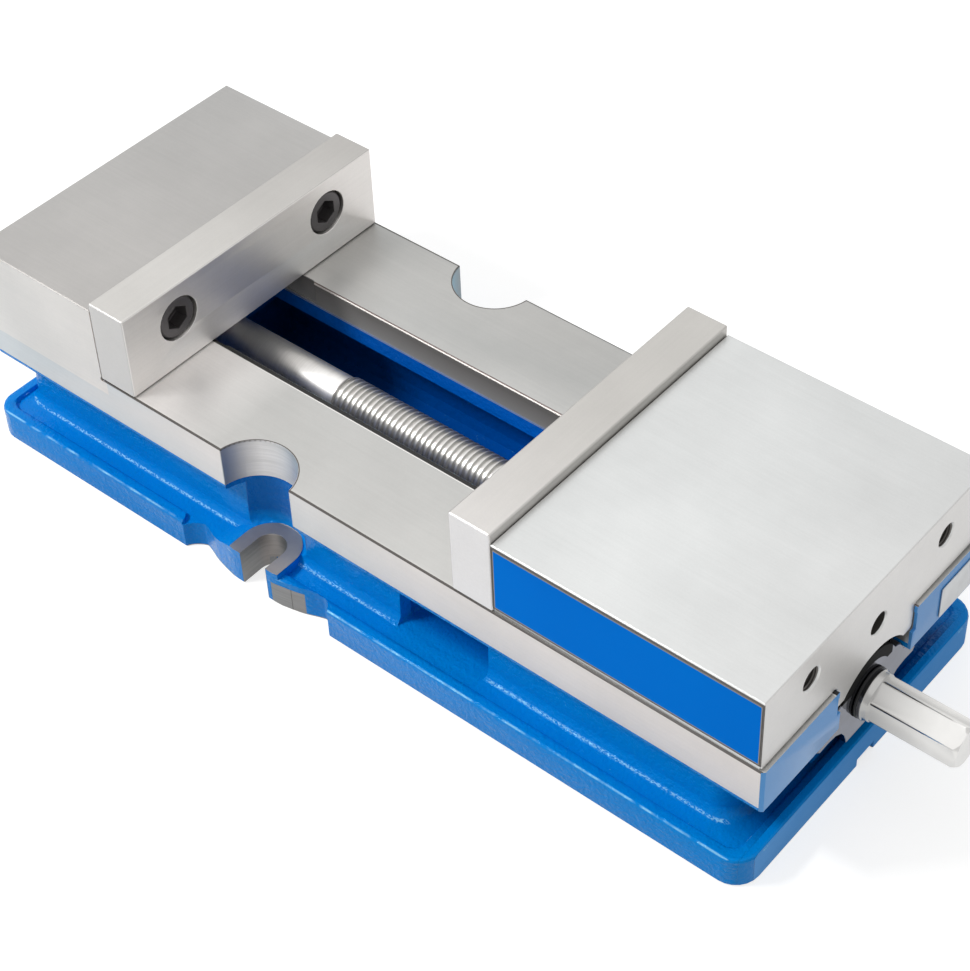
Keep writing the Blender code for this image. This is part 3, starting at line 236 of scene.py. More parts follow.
def ground_metal(name, colour, grain, roughness=0.42, masks=()):
    """Ground steel: a very fine grain, lines where it is stretched, faint clouding and small specks.

    Each mask gives an area of its own, the colour there and how dull it is.
    """
    finish = Finish(name)
    lines, tone, specks = worn(finish, grain)
    base = shades(finish, tone, colour)
    dull = 0.0
    for mask, other, dullness in masks:
        area = mask(finish)
        base = finish.mix(area, base, shades(finish, tone, other))
        dull = finish.most(dull, area * dullness)
    return finish.show(
        Base_Color=base,
        Metallic=0.88 - dull * 0.7,
        Roughness=(lines * 0.5 + specks * 0.5 - 0.5) * 0.12 + roughness,
        Normal=finish.bump(lines * 0.6 + specks * 0.4, 0.000005),
    )


def worn(finish, grain):
    """Fine lines, the tone they and faint stains give, and specks."""
    lines = finish.noise(grain, 3.0, 0.6)
    clouds = finish.noise(13.0, 4.0, 0.6)
    specks = finish.noise(850.0, 1.0)
    return lines, (lines * 0.22 + clouds * 0.63 + specks * 0.15).ramp(0.34, 0.66), specks


def shades(finish, tone, colour, depth=0.10):
    """The colour, a little darker where the tone is 0 and slightly lighter where it is 1."""
    light = 1 + depth * 0.3
    return finish.mix(tone, tuple(c * (1 - depth) for c in colour), tuple(c * light for c in colour))


def plain_finish(name, colour, roughness, metallic):
    """An even finish with a fine grain and faint clouding."""
    finish = Finish(name)
    cloud = finish.noise(60.0, 3.0)
    fine = finish.noise(1200.0, 1.0)
    return finish.show(
        Base_Color=shades(finish, cloud.ramp(0.35, 0.65), colour, 0.15),
        Metallic=metallic,
        Roughness=(fine - 0.5) * 0.12 + roughness,
        Normal=finish.bump(fine, 0.000008),
    )


def turned_metal(name, colour, roughness, rings_to=1.0):
    """Turned steel: fine rings round the screw's axis up to some X, plain past it and lighter towards the
    end. The plain part has painted shade, darkest near the jaw's end, and the hub by the jaw's end a
    near-black painted shade.
    """
    finish = Finish(name)
    plain = finish.x.above(rings_to)
    rings = (finish.noise((1500.0, 20.0, 20.0), 2.0, 0.6) - 0.5) * (1 - plain) + 0.5
    stain = finish.noise(70.0, 3.0)
    along = finish.x.ramp(HEXAGON_REAR, HEXAGON_REAR + 0.036)
    base = shades(finish, (rings * 0.5 + stain * 0.5).ramp(0.3, 0.7), colour, 0.14)
    # Painted shade on the plain part, darkest near the jaw and fading towards the end.
    base = finish.mix((1 - along * 0.72) * plain, base, tuple(c * 0.46 for c in colour))
    # Painted shade: near-black on the hub just ahead of the jaw's end.
    hub = finish.x.between(JAW_END + 0.0001, JAW_END + 0.0019, 0.0002)
    base = finish.mix(hub * 0.75, base, (0.05, 0.05, 0.055))
    return finish.show(
        Base_Color=base,
        Metallic=plain * 0.15 + 0.85,
        Roughness=(rings - 0.5) * 0.12 + (stain - 0.5) * 0.10 + roughness - plain * 0.20,
        Normal=finish.bump(rings * 0.5 + stain * 0.5, 0.000008),
    )


# Colours of the paint. Besides the paint itself, some are painted light: painted shade, painted shadows, a
# painted sheen and painted highlights.
PAINT = (0.0, 0.203, 0.630)
PAINT_CLOUDS = (0.0, 0.234, 0.700)
PAINT_LIT_AHEAD = (0.0, 0.235, 0.690)
PAINT_RECESS_SHADE = (0.0, 0.050, 0.300)
PAINT_CHANNEL_SHADE = (0.0, 0.135, 0.670)
PAINT_DEEP_SHADOW = (0.0, 0.006, 0.030)
PAINT_SCREW_SHADOW = (0.003, 0.006, 0.012)
PAINT_END_SHEEN = (0.16, 0.44, 0.90)
PAINT_BED_SHADOW = (0.0, 0.04, 0.20)
PAINT_GLINT = (0.40, 0.80, 1.0)
PAINT_SHEEN = (0.30, 0.75, 1.0)

# Colours of the ground iron and of the lines along its edges. Some are painted light: painted shade, painted
# reflections and painted highlights.
BED_NEAR = (0.552, 0.542, 0.523)
BED_FAR_SHADE = (0.49, 0.475, 0.455)
BED_PLATE_REFLECTION = (0.86, 0.83, 0.81)
SIDE_COOL = (0.640, 0.610, 0.600)
SIDE_WARM = (0.735, 0.660, 0.615)
BLOCK_TOP = (0.495, 0.470, 0.450)
NOTCH_IRON = (0.64, 0.62, 0.61)
NOTCH_SHADE = (0.36, 0.35, 0.35)
LUG_IRON = (0.42, 0.385, 0.365)
LUG_SHADE = (0.10, 0.088, 0.082)
SLOT_WALL_LOW = (0.36, 0.350, 0.340)
SLOT_WALL_HIGH = (0.19, 0.180, 0.172)
DARK_SEAM_AND_REFLECTION = (0.12, 0.105, 0.095)
SLOT_EDGE_HIGHLIGHT = (0.50, 0.475, 0.455)
SLOT_EDGE_SHADE = (0.15, 0.120, 0.112)
NEAR_EDGE_SHADOW = (0.05, 0.046, 0.044)
NEAR_EDGE_HIGHLIGHT = (0.78, 0.76, 0.73)
HOUSING_SHADE = (0.012, 0.011, 0.011)


class CastingAreas:
    """Where the casting's own faces lie: 1 on each, 0 off it. Side and notch are distances."""

    def __init__(self, finish):
        x, y, z = finish.x, finish.y, finish.z
        self.side = side = abs(y)
        across = abs(x - LUG_X)
        self.sides = side.above(BED_SIDE)
        self.end_face = x.above(BED_END - 0.0018) * z.below(BED_TOP - 0.0005)
        self.in_channel = side.below(CHANNEL_SIDE) * z.between(CHANNEL_FLOOR, SLOT_FLOOR)
        self.in_channel *= x.between(SLOT_REAR, CHANNEL_FRONT)
        rear_face = x.below(CASTING_REAR + 0.0035) * z.below(BED_TOP - 0.0010)

        lug = finish.distance(across, side - LUG_SIDE)
        pad_outline = finish.most(lug.below(LUG_RADIUS), across.below(LUG_RADIUS) * side.above(LUG_SIDE))
        pad = z.between(LUG_TOP - 0.0002, LUG_TOP + 0.0002) * pad_outline
        self.clamp_slot = across.below(CLAMP_SLOT_HALF) * side.above(CLAMP_SLOT_SIDE)
        self.clamp_slot *= z.below(LUG_TOP + 0.0001)
        self.key_face = x.between(*KEY_FACE) * side.above(KEY_FACE_SIDE) * z.below(KEY_FACE_TOP)
        underside = z.below(0.0006)

        above_band = z.above(GROUND_BAND)
        ground = above_band * (1 - self.end_face) * (1 - self.in_channel) * (1 - rear_face)
        self.ground = finish.most(ground, pad, self.clamp_slot, self.key_face, underside)
        self.notch = finish.distance(across, side - NOTCH_SIDE)
        self.in_notch = self.notch.below(NOTCH_RADIUS) * above_band
        self.slot_walls = side.between(SLOT_SIDE - 0.0007, SLOT_SIDE + 0.0017)
        self.slot_walls *= z.between(SLOT_FLOOR - 0.0004, BED_TOP - 0.00082)
        self.housing = side.below(SLOT_SIDE + 0.0015) * x.between(JAW_END - 0.0102, JAW_END - 0.0090)


def casting_finish():
    """The painted casting with its ground bed, sides, lug pads and bores, one material for one piece."""
    finish = Finish("blue_paint_and_ground_iron")
    areas = CastingAreas(finish)
    lines, tone, specks = worn(finish, (12.0, 620.0, 620.0))
    streaks = finish.noise((28.0, 28.0, 560.0), 4.0, 0.65)
    steel, dull = ground_iron(finish, areas, tone, streaks)
    metal_height = (streaks - lines) * areas.in_notch + lines * 0.6 + specks * 0.4

    grit, peel, waves = (finish.noise(grain) for grain in (640.0, 330.0, 110.0))
    relief = (grit * 0.28 + peel * 0.42 + waves * 0.30) * (1 - areas.end_face * 0.85)
    relief *= 1 - finish.x.above(FRONT_FACES) * 0.50
    outer_face = finish.x.above(FOOT_FRONT) * finish.z.below(RIM_TOP - 0.0003)
    paint_roughness = peel * 0.06 + 0.13 + outer_face * 0.50
    return finish.show(
        Base_Color=finish.mix(areas.ground, blue_paint(finish, areas, waves), steel),
        Metallic=areas.ground * (0.86 - dull * 0.66),
        Roughness=finish.blend(areas.ground, paint_roughness, specks * 0.06 + 0.43),
        Normal=finish.bump(finish.blend(areas.ground, relief, metal_height * 0.004), 0.00135),
        Specular_IOR_Level=0.17,
        Specular_Tint=PAINT_SHEEN,
    )


def ground_iron(finish, areas, tone, streaks):
    """The colour of the ground faces, and 1 where they are dull. Much of it is painted light: painted shade
    on the bed's far half, in the notch and on the lug's walls, a painted reflection by the fixed plate, and
    the sides painted lighter and warmer towards the front.
    """
    x, y, z = finish.x, finish.y, finish.z
    bed = shades(finish, tone, BED_NEAR)
    # Painted shade: the bed's far half darker than its near half.
    far_shade = shades(finish, tone, BED_FAR_SHADE)
    steel = finish.mix(y.ramp(0.03, 0.09) * (1 - areas.sides), bed, far_shade)
    # Painted reflection: the bed lighter on its near side close to the fixed plate's face.
    plate_reflection = x.ramp(PLATE_FACE + 0.0638, PLATE_FACE + 0.0168) * y.ramp(0.05, -0.05)
    steel = finish.mix(plate_reflection, steel, shades(finish, tone, BED_PLATE_REFLECTION))

    # Painted light: the sides lighter and warmer towards the front and on the fixed block's upper side.
    warm = finish.most(x.ramp(-0.20, 0.02), z.above(BED_TOP - 0.0100) * x.below(PLATE_BACK + 0.0040))
    cool_side = shades(finish, tone, SIDE_COOL)
    warm_side = shades(finish, tone, SIDE_WARM)
    steel = finish.mix(areas.sides, steel, finish.mix(warm, cool_side, warm_side))
    steel = finish.mix(z.above(BED_TOP + 0.050), steel, shades(finish, tone, BLOCK_TOP))

    milled = shades(finish, streaks.ramp(0.35, 0.65), NOTCH_IRON, 0.14)
    steel = finish.mix(areas.in_notch, steel, milled)
    notch_shade = areas.in_notch * x.ramp(LUG_X - 0.014, LUG_X - 0.026)
    steel = finish.mix(notch_shade, steel, NOTCH_SHADE)
    lug_steel = shades(finish, streaks.ramp(0.3, 0.7), LUG_IRON, 0.20)
    steel = finish.mix(z.below(LUG_TOP + 0.0015), steel, lug_steel)
    lug_walls = finish.most(areas.clamp_slot * z.below(LUG_TOP - 0.0003), areas.key_face)
    steel = finish.mix(lug_walls * 0.40, steel, LUG_SHADE)
    high = z.ramp(SLOT_FLOOR, BED_TOP - 0.0010)
    steel = finish.mix(areas.slot_walls, steel, finish.mix(high, SLOT_WALL_LOW, SLOT_WALL_HIGH))
    return edge_lines(finish, areas, steel)


def edge_lines(finish, areas, steel):
    """Thin dark and bright lines along the ground edges, and what they leave dull. Most are painted
    reflections, highlights and shadows; one is a real dark seam, and the housing face gets painted shade.
    """
    x, y, z, side = finish.x, finish.y, finish.z, areas.side
    # Dark lines: painted reflections along the bed's top side edges and the notch's top edge, and the real
    # dark seam at the key face.
    rim_line = side.above(BED_SIDE - 0.0005) * z.between(BED_TOP - 0.0010, BED_TOP + 0.0002)
    rim_line *= x.above(PLATE_BACK + 0.0020)
    notch_line = areas.notch.between(NOTCH_RADIUS - 0.00065, NOTCH_RADIUS)
    notch_line *= z.between(BED_TOP - 0.0011, BED_TOP + 0.0002)
    seam = abs(x - KEY_SEAM_X).below(0.00022) * areas.key_face
    seam_and_reflection = finish.most(rim_line, notch_line, seam)
    steel = finish.mix(seam_and_reflection, steel, DARK_SEAM_AND_REFLECTION)

    # Painted highlights and shade along the slot's top edges: a bright line and a dark one on both edges,
    # and on the near edge a painted shadow band with a bright line outside it.
    slot_edge = x.above(SLOT_REAR) * z.between(BED_TOP - 0.0013, BED_TOP + 0.0002)
    strips = (
        (side, SLOT_SIDE - 0.00015, SLOT_SIDE + 0.00045, SLOT_EDGE_HIGHLIGHT),
        (side, SLOT_SIDE + 0.00045, SLOT_SIDE + 0.0012, SLOT_EDGE_SHADE),
        (y, -SLOT_SIDE - 0.0034, -SLOT_SIDE - 0.0007, NEAR_EDGE_SHADOW),
        (y, -SLOT_SIDE - 0.0041, -SLOT_SIDE - 0.0034, NEAR_EDGE_HIGHLIGHT),
    )
    for across, low, high, colour in strips:
        steel = finish.mix(across.between(low, high) * slot_edge, steel, colour)
    steel = finish.mix(areas.housing, steel, HOUSING_SHADE)
    return steel, finish.most(areas.slot_walls, seam_and_reflection, areas.housing)


def blue_paint(finish, areas, waves):
    """The paint's colour with painted light: painted shade in recesses and the channel, painted shadows
    under the screw and under the bed's end, lighter towards the front, a painted sheen on the end face and
    painted glints.
    """
    x, y, z, side = finish.x, finish.y, finish.z, areas.side
    blue = finish.mix(finish.noise(6.0).ramp(0.3, 0.7), PAINT, PAINT_CLOUDS)
    # Painted light: the paint turns lighter towards the front end.
    blue = finish.mix(x.ramp(0.0, 0.26), blue, PAINT_LIT_AHEAD)
    # Painted shade: the paint darker inside the wall's hollow and under the notch.
    hollow = x.between(*HOLLOW) * side.ramp(WALL_SIDE - 0.001, WALL_SIDE - 0.008)
    under_notch = areas.notch.below(NOTCH_RADIUS) * z.ramp(LUG_TOP + 0.0045, LUG_TOP + 0.0095)
    recess = finish.most(hollow, under_notch) * (1 - areas.in_channel)
    blue = finish.mix(recess * 0.55, blue, PAINT_RECESS_SHADE)

    # Painted shade: the paint inside the channel darker than outside.
    blue = finish.mix(areas.in_channel, blue, PAINT_CHANNEL_SHADE)
    # Painted shadow in the channel: darkest at the rear under the fixed jaw, less towards the front and on
    # the shelf higher up.
    light = x.ramp(-0.225, -0.02) * 0.58 + 0.10
    shelf = z.ramp(BED_TOP - 0.0400, BED_TOP - 0.0360) * 0.40
    blue = finish.mix(areas.in_channel * (1 - light) * (1 - shelf), blue, PAINT_DEEP_SHADOW)
    # Painted shadow: near-black on the channel floor under the screw.
    screw_shadow = areas.in_channel * z.below(0.0290) * y.ramp(0.030, 0.010)
    blue = finish.mix(screw_shadow, blue, PAINT_SCREW_SHADOW)

    # Painted reflection: a light sheen on the bed's painted end face.
    lit = finish.noise(22.0).ramp(0.3, 0.7) * 0.25 + y.ramp(0.02, -0.10) * 0.35 + 0.40
    blue = finish.mix(areas.end_face * lit, blue, PAINT_END_SHEEN)
    # Painted shadow: the paint darker under the bed's overhanging front end, by the wall.
    bed_shadow = x.ramp(0.2140, 0.2300) * z.ramp(0.0600, 0.0540) * side.ramp(0.1000, 0.0800)
    bed_shadow *= x.below(FRONT_FACES)
    blue = finish.mix(bed_shadow * 0.75, blue, PAINT_BED_SHADOW)
    # Painted highlights: broken glints over the paint.
    return finish.mix(glints(finish, side, waves), blue, PAINT_GLINT)


def glints(finish, side, waves):
    """Painted highlights: broken light lines at the foot of the wall and along the rim's outer edge."""
    sparkle = finish.noise((700.0, 1300.0, 1300.0), 1.0)
    foot = side.between(WALL_SIDE + 0.0010, WALL_SIDE + 0.0050, 0.0004)
    foot *= finish.z.between(TROUGH_FLOOR + 0.0008, TROUGH_FLOOR + 0.0017, 0.0002)
    foot *= 1 - finish.x.between(HOLLOW[0] - 0.006, HOLLOW[1] + 0.002)
    rim_edge = side.between(FOOT_SIDE - 0.0014, FOOT_SIDE - 0.0004, 0.0002)
    rim_edge *= finish.z.between(RIM_TOP - 0.0008, RIM_TOP - 0.0001, 0.0002)
    return foot * sparkle.above(0.50, 0.06) * 0.60 + rim_edge * waves.ramp(0.35, 0.60) * 0.60


def panel_finish():
    """The flat blue panel with its thin grey border line."""
    finish = Finish("blue_panel")
    low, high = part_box("label_panel")
    inset = 0.00055
    inside = finish.x.between(low.x + inset, high.x - inset)
    inside *= finish.z.between(low.z + inset, high.z - inset)
    fine = finish.noise(1500.0, 1.0)
    drift = finish.noise(9.0)
    blue = finish.mix(drift.ramp(0.3, 0.7), (0.0, 0.172, 0.712), (0.0, 0.192, 0.752))
    return finish.show(
        Base_Color=finish.mix(inside, (0.34, 0.33, 0.31), blue),
        Roughness=fine * 0.05 + 0.30,
        Normal=finish.bump(fine, 0.000006),
        Specular_IOR_Level=0.01,
        Specular_Tint=(0.0, 0.60, 1.0),
    )


def retainer_finish():
    """Dark polished steel, painted near-black as shade along its upper rim, where the shaded opening under
    the jaw's arch shows.
    """
    finish = Finish("dark_polished_steel")
    x, y, z = finish.x, finish.y, finish.z
    radius = finish.distance(y, z - SCREW_Z)
    # Painted shade: the plate's upper rim near-black.
    gap_shade = radius.above(0.0203) * z.above(SCREW_Z + 0.0120) * y.between(-0.0260, 0.0210)
    cloud = finish.noise(60.0, 3.0)
    steel = shades(finish, cloud.ramp(0.35, 0.65), (0.158, 0.164, 0.195), 0.15)
    return finish.show(
        Base_Color=finish.mix(gap_shade, steel, (0.006, 0.006, 0.006)),
        Metallic=1 - gap_shade,
        Roughness=gap_shade * 0.60 + cloud * 0.02 + 0.04,
        Specular_IOR_Level=0.10,
    )


def in_end_holes(finish):
    """1 inside the three threaded holes of the moving jaw's end face."""
    inside = 0.0
    for _, y, z in END_HOLES:
        radius = finish.distance(finish.y - y, finish.z - z)
        inside = finish.most(inside, radius.below(END_HOLE_RADIUS))
    return inside * finish.x.between(JAW_END - END_HOLE_REACH, JAW_END - 0.0011)


def round_the_panel(finish):
    """1 on the strip of the jaw's near side that shows round the panel."""
    return finish.y.below(0.0004 - JAW_SIDE) * finish.z.between(BED_TOP + 0.0010, BED_TOP + 0.0492)


PLATE_GRAIN = (700.0, 16.0, 700.0)


def plate_side(finish):
    """1 on a jaw plate's ends."""
    return abs(finish.y).above(JAW_SIDE - 0.0004)


def fixed_plate_steel():
    """The fixed plate, with painted light: lighter on its face, darker towards the far side and on its ends.
    """
    return ground_metal("hard_plate_steel", (0.630, 0.615, 0.590), PLATE_GRAIN, 0.44, (
        # Painted light: the far side darker, the face lighter and the ends darker.
        (lambda f: f.y.ramp(-0.06, 0.10), (0.50, 0.485, 0.465), 0.0),
        (lambda f: f.x.above(PLATE_FACE - 0.0003), (0.80, 0.770, 0.745), 0.12),
        (plate_side, (0.56, 0.555, 0.55), 0.2),
    ))


def moving_plate_steel():
    """The moving plate, with painted light: lighter towards the near side and on its ends."""
    return ground_metal("hard_plate_steel_moving", (0.540, 0.525, 0.500), PLATE_GRAIN, 0.44, (
        # Painted light: lighter towards the near side and on the ends.
        (lambda f: f.y.ramp(0.0, -0.10), (0.64, 0.62, 0.60), 0.0),
        (plate_side, (0.73, 0.72, 0.72), 0.2),
    ))


def jaw_steel():
    """The moving jaw's ground faces, with painted light: the top darker towards the front, the end face
    lighter, and painted shade round the panel and in the threaded holes.
    """
    return ground_metal("ground_jaw_steel", (0.655, 0.665, 0.660), (14.0, 700.0, 700.0), 0.40, (
        # Painted light: the top darker towards the front and the end face lighter.
        (lambda f: f.x.ramp(0.16, 0.25) * f.z.above(BED_TOP + 0.045), (0.600, 0.605, 0.600), 0.0),
        (lambda f: f.x.above(JAW_END - 0.0005), (0.70, 0.69, 0.68), 0.0),
        # Painted shade round the panel and inside the threaded holes.
        (round_the_panel, (0.085, 0.075, 0.068), 1.0),
        (in_end_holes, (0.075, 0.070, 0.064), 1.0),
    ))


# Shapes

# Edge roundings, and the angles in degrees under which faces are one round face.
CAST_EDGE = 0.0004
GROUND_EDGE = 0.00035
SCREW_EDGE = 0.0003
SHARP_EDGE = 35
ROUND_FACE = 30
SCREW_ROUND_FACE = 26

# The ridge of a thread over one turn: along the pitch, and up from root to crest.
RIDGE = ((0.00, 0.0), (0.17, 0.0), (0.205, 0.08), (0.29, 0.80), (0.34, 0.96), (0.41, 1.0),
         (0.59, 1.0), (0.66, 0.96), (0.71, 0.80), (0.795, 0.08), (0.83, 0.0), (1.00, 0.0))
RIDGE_TAPER = 0.6

SCREW_PITCH = 0.0038
SCREW_CREST = 0.0140
SCREW_ROOT = 0.0121
THREAD_FRONT = 0.19
SCREW_STEPS = 40
END_THREAD_PITCH = 0.00175
END_THREAD_OUTER = 0.00682
END_THREAD_INNER = 0.0060
END_THREAD_STEPS = 28


def from_cad(name, node, smooth=ROUND_FACE):
    """A merged copy of a CAD node, shaded smooth over its round faces."""
    mesh = frame["nodes"][node].data.copy()
    bm = bmesh.new()
    bm.from_mesh(mesh)
    bmesh.ops.remove_doubles(bm, verts=bm.verts, dist=2e-6)
    bmesh.ops.dissolve_limit(bm, angle_limit=math.radians(0.6), verts=bm.verts, edges=bm.edges)
    bm.to_mesh(mesh)
    bm.free()
    mesh.materials.clear()
    mesh.shade_smooth()
    mesh.set_sharp_from_angle(angle=math.radians(smooth))
    obj = bpy.data.objects.new(name, mesh)
    bpy.context.scene.collection.objects.link(obj)
    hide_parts(node)
    return obj


def edge_rounding(obj, width):
    bevel = obj.modifiers.new("edges", "BEVEL")
    bevel.width = width
    bevel.segments = 2
    bevel.limit_method = "ANGLE"
    bevel.angle_limit = math.radians(SHARP_EDGE)
    bevel.harden_normals = True


def dress(obj, material, body):
    obj.data.materials.clear()
    obj.data.materials.append(material)
    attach(obj, body)


def repaint(node, material):
    for held in frame["nodes"][node].material_slots:
        held.material = material


def refined(node, material, width):
    """A CAD node's merged copy with fine rounded edges, in place of the node."""
    obj = from_cad("fine_" + node, node)
    edge_rounding(obj, width)
    dress(obj, material, BODY_OF[node])


def helix(place, pitch, root, crest, start, end, steps):
    """A left-handed thread about an axis along X: its ridge swept round and tapered at both ends."""
    y, z = place
    depth = crest - root
    one = bmesh.new()
    verts = [one.verts.new((start + (u - 1) * pitch, y, z + root + v * depth)) for u, v in RIDGE]
    edges = [one.edges.new(pair) for pair in zip(verts, verts[1:])]
    bmesh.ops.spin(
        one, geom=verts + edges, cent=(0, y, z), axis=(1, 0, 0), dvec=(pitch / steps, 0, 0),
        angle=-2 * math.pi, steps=steps, use_merge=False,
    )
    turn = bpy.data.meshes.new("turn")
    bm = bmesh.new()
    for _ in range(math.ceil((end - start) / pitch) + 1):
        one.to_mesh(turn)
        bm.from_mesh(turn)
        bmesh.ops.translate(one, verts=one.verts, vec=(pitch, 0, 0))
    one.free()
    bpy.data.meshes.remove(turn)
    for vert in bm.verts:
        arm = Vector((vert.co.y - y, vert.co.z - z))
        inside = max(0.0, min(vert.co.x - start, end - vert.co.x))
        height = min(abs(arm.length - root), RIDGE_TAPER * inside)
        arm *= (root + math.copysign(height, depth)) / arm.length
        vert.co = (min(max(vert.co.x, start), end), y + arm.x, z + arm.y)
    bmesh.ops.remove_doubles(bm, verts=bm.verts, dist=2e-5)
    bmesh.ops.dissolve_degenerate(bm, edges=bm.edges, dist=1e-5)
    bmesh.ops.recalc_face_normals(bm, faces=bm.faces)
    bm.faces.ensure_lookup_table()
    first = bm.faces[len(bm.faces) // 2]
    middle = first.calc_center_median()
    outwards = first.normal.dot(Vector((0, middle.y - y, middle.z - z))) > 0
    if outwards != (depth > 0):
        bmesh.ops.reverse_faces(bm, faces=bm.faces)
    return bm


def piece_from(name, bm):
    mesh = bpy.data.meshes.new(name)
    bm.to_mesh(mesh)
    bm.free()
    mesh.shade_smooth()
    mesh.set_sharp_from_angle(angle=math.radians(ROUND_FACE))
    obj = bpy.data.objects.new(name, mesh)
    bpy.context.scene.collection.objects.link(obj)
    return obj


def make_screw(material, thread_material):
    """The lead screw with a real thread in place of the plain thread cylinder."""
    screw = from_cad("lead_screw_core", "lead_screw", SCREW_ROUND_FACE)
    ends = []
    for vert in screw.data.vertices:
        arm = Vector((vert.co.y, vert.co.z - SCREW_Z))
        if abs(arm.length - SCREW_CREST) < 0.0002 and vert.co.x < THREAD_FRONT:
            ends.append(vert.co.x)
            arm *= (SCREW_ROOT - 0.0001) / arm.length
            vert.co.y, vert.co.z = arm.x, SCREW_Z + arm.y
    dress(screw, material, "screw")
    turns = helix(
        (0, SCREW_Z), SCREW_PITCH, SCREW_ROOT, SCREW_CREST, min(ends), max(ends), SCREW_STEPS
    )
    ridge = piece_from("lead_screw_thread", turns)
    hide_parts("lead_screw")
    dress(ridge, thread_material, "screw")


def make_end_threads(material):
    """The threads in the two open holes of the moving jaw's end face."""
    for name, y, z in END_HOLES[:2]:
        turns = helix(
            (y, z), END_THREAD_PITCH, END_THREAD_OUTER, END_THREAD_INNER,
            JAW_END - 0.0290, JAW_END - 0.0010, END_THREAD_STEPS,
        )
        dress(piece_from("end_hole_thread_" + name, turns), material, "sliding_jaw")


# The scene round the object

def make_camera():
    camera = bpy.data.objects.new("camera", bpy.data.cameras.new("camera"))
    bpy.context.scene.collection.objects.link(camera)
    camera.data.lens = CAMERA_LENS
    camera.data.sensor_width = 36
    camera.data.sensor_fit = "HORIZONTAL"
    camera.data.shift_x, camera.data.shift_y = CAMERA_SHIFT
    camera.data.clip_start = 0.05
    heading, drop = math.radians(CAMERA_HEADING), math.radians(CAMERA_DROP)
    forward = Vector((
        math.cos(heading) * math.cos(drop), math.sin(heading) * math.cos(drop), -math.sin(drop)
    ))
    turn = forward.to_track_quat("-Z", "Y").to_matrix()
    roll = Matrix.Rotation(math.radians(CAMERA_ROLL), 3, "Z")
    camera.matrix_world = (turn @ roll).to_4x4()
    camera.location = CAMERA_PLACE
    bpy.context.scene.camera = camera


def make_world():
    """A white room: even light, a little brighter overhead in what the metal mirrors."""
    world = bpy.data.worlds.new("studio")
    bpy.context.scene.world = world
    world.use_nodes = True
    nodes = Nodes(world.node_tree)
    camera, glossy, through = rays(nodes, "Camera", "Glossy", "Transmission")
    height = nodes.axes("Generated")[3]
    mirrored = height.ramp(0.54, 0.74) * 0.40 + 0.84
    strength = nodes.blend(nodes.most(glossy, through), 0.60, mirrored)
    background = world.node_tree.nodes["Background"]
    background.inputs["Color"].default_value = (1, 1, 1, 1)
    nodes.connect(nodes.blend(camera, strength, 1.0), background.inputs["Strength"])


def rays(nodes, *kinds):
    """Numbers that are 1 for those kinds of ray."""
    path = nodes.tree.nodes.new("ShaderNodeLightPath")
    return [Number(nodes, path.outputs[f"Is {kind} Ray"]) for kind in kinds]


def make_floor():
    bm = bmesh.new()
    bmesh.ops.create_grid(bm, x_segments=1, y_segments=1, size=6)
    bmesh.ops.translate(bm, verts=bm.verts, vec=(0, 0, -0.0004))
    mesh = bpy.data.meshes.new("floor")
    bm.to_mesh(mesh)
    bm.free()
    floor = bpy.data.objects.new("floor", mesh)
    bpy.context.scene.collection.objects.link(floor)
    material = bpy.data.materials.new("floor")
    material.use_nodes = True
    nodes = Nodes(material.node_tree)
    nodes.tree.nodes.remove(nodes.tree.nodes["Principled BSDF"])
    camera, glossy = rays(nodes, "Camera", "Glossy")
    glow = nodes.node("ShaderNodeEmission", None, {"Strength": nodes.most(camera, glossy) * 0.68})
    paper = nodes.node("ShaderNodeBsdfDiffuse", None, {"Color": (0.50, 0.50, 0.49)})
    both = nodes.node("ShaderNodeAddShader", None, {0: paper, 1: glow})
    nodes.connect(both, nodes.tree.nodes["Material Output"].inputs["Surface"])
    mesh.materials.append(material)


def make_lamp(name, place, target, size, radiance):
    lamp = bpy.data.objects.new(name, bpy.data.lights.new(name, "AREA"))
    bpy.context.scene.collection.objects.link(lamp)
    lamp.data.shape = "RECTANGLE"
    lamp.data.size, lamp.data.size_y = size
    lamp.data.energy = radiance * math.pi * size[0] * size[1]
    lamp.location = place
    lamp.rotation_euler = (Vector(target) - Vector(place)).to_track_quat("-Z", "Y").to_euler()


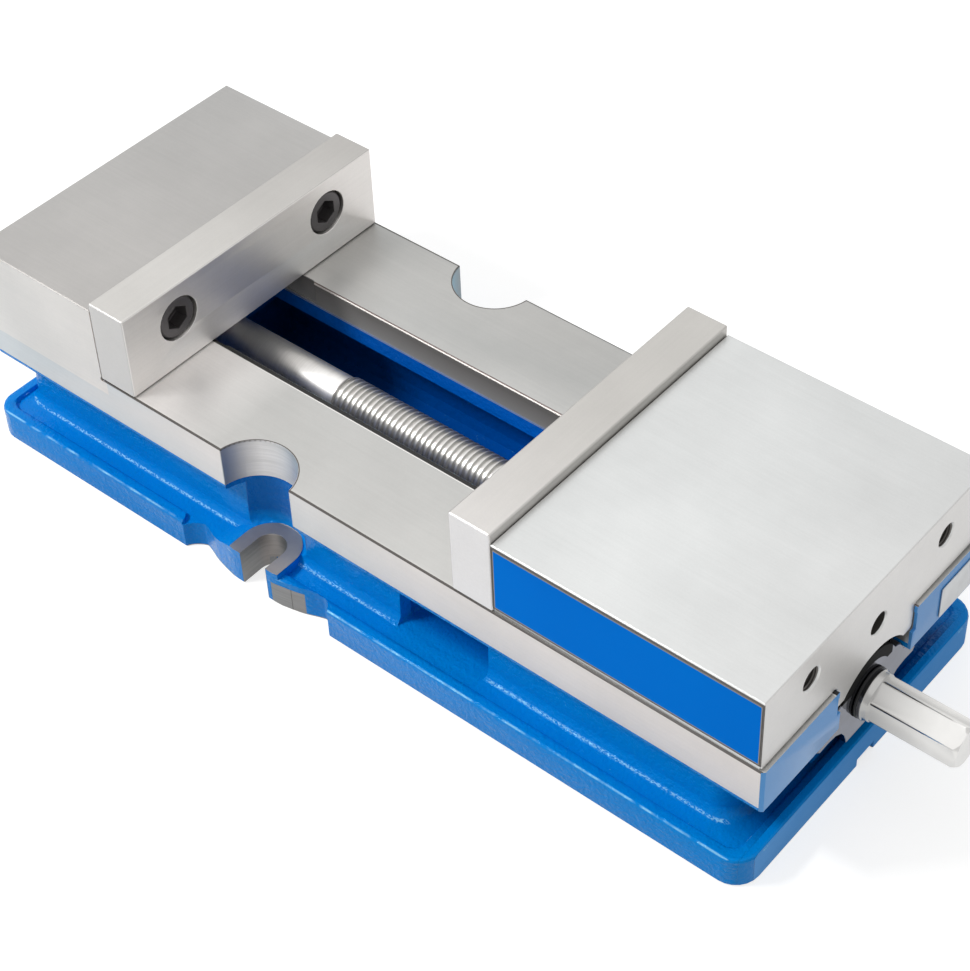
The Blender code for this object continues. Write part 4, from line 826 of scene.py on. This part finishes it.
def make_studio():
    make_camera()
    make_world()
    make_floor()
    make_lamp("top_softbox", (-0.5, 0.4, 2.0), (0, 0, 0), (1.8, 1.4), 0.4)
    make_lamp("key_softbox", (-0.9, -1.0, 1.5), (0, 0, 0.05), (0.50, 0.10), 128)
    bpy.context.scene.view_settings.view_transform = "Standard"


def main():
    make_studio()
    body = from_cad("vise_casting", "body")
    edge_rounding(body, CAST_EDGE)
    dress(body, casting_finish(), "base")

    turned = turned_metal("turned_screw_steel", (0.88, 0.87, 0.85), 0.42, RINGS_FRONT)
    thread = turned_metal("thread_steel", (0.62, 0.61, 0.59), 0.34)
    # The threads in the end holes are dark with painted shade.
    end_threads = plain_finish("hole_threads_in_shade", (0.16, 0.15, 0.14), 0.45, 0.5)
    hidden = ground_metal("bearing_steel", (0.60, 0.59, 0.57), (400.0, 400.0, 400.0))
    black = plain_finish("black_oxide", (0.104, 0.097, 0.098), 0.34, 0.5)
    rubber = plain_finish("seal_rubber", (0.012, 0.012, 0.012), 0.55, 0.0)
    bronze = plain_finish("bush_bronze", (0.50, 0.30, 0.11), 0.35, 1.0)
    bare = plain_finish("bare_plate", (0.56, 0.57, 0.58), 0.35, 0.9)

    refined("fixed_jaw_plate", fixed_plate_steel(), GROUND_EDGE)
    refined("moving_jaw_plate", moving_plate_steel(), GROUND_EDGE)
    refined("moving_jaw", jaw_steel(), GROUND_EDGE)
    for side in ("near", "far"):
        for owner in ("fixed", "moving"):
            refined(f"{owner}_plate_screw_{side}", black, SCREW_EDGE)
    refined("retainer_plate", retainer_finish(), CAST_EDGE)
    make_screw(turned, thread)
    make_end_threads(end_threads)
    repaint("label_panel", panel_finish())
    repaint("id_plate", bare)
    repaint("jaw_set_screw", black)
    repaint("seal_ring", rubber)
    for name in ("tail_bush", "front_bush"):
        repaint(name, bronze)
    for name in ("thrust_washer_front", "thrust_bearing", "thrust_washer_rear", "thrust_collar",
                 "collar_pin", "screw_nut", "half_ball_segment"):
        repaint(name, hidden)


main()
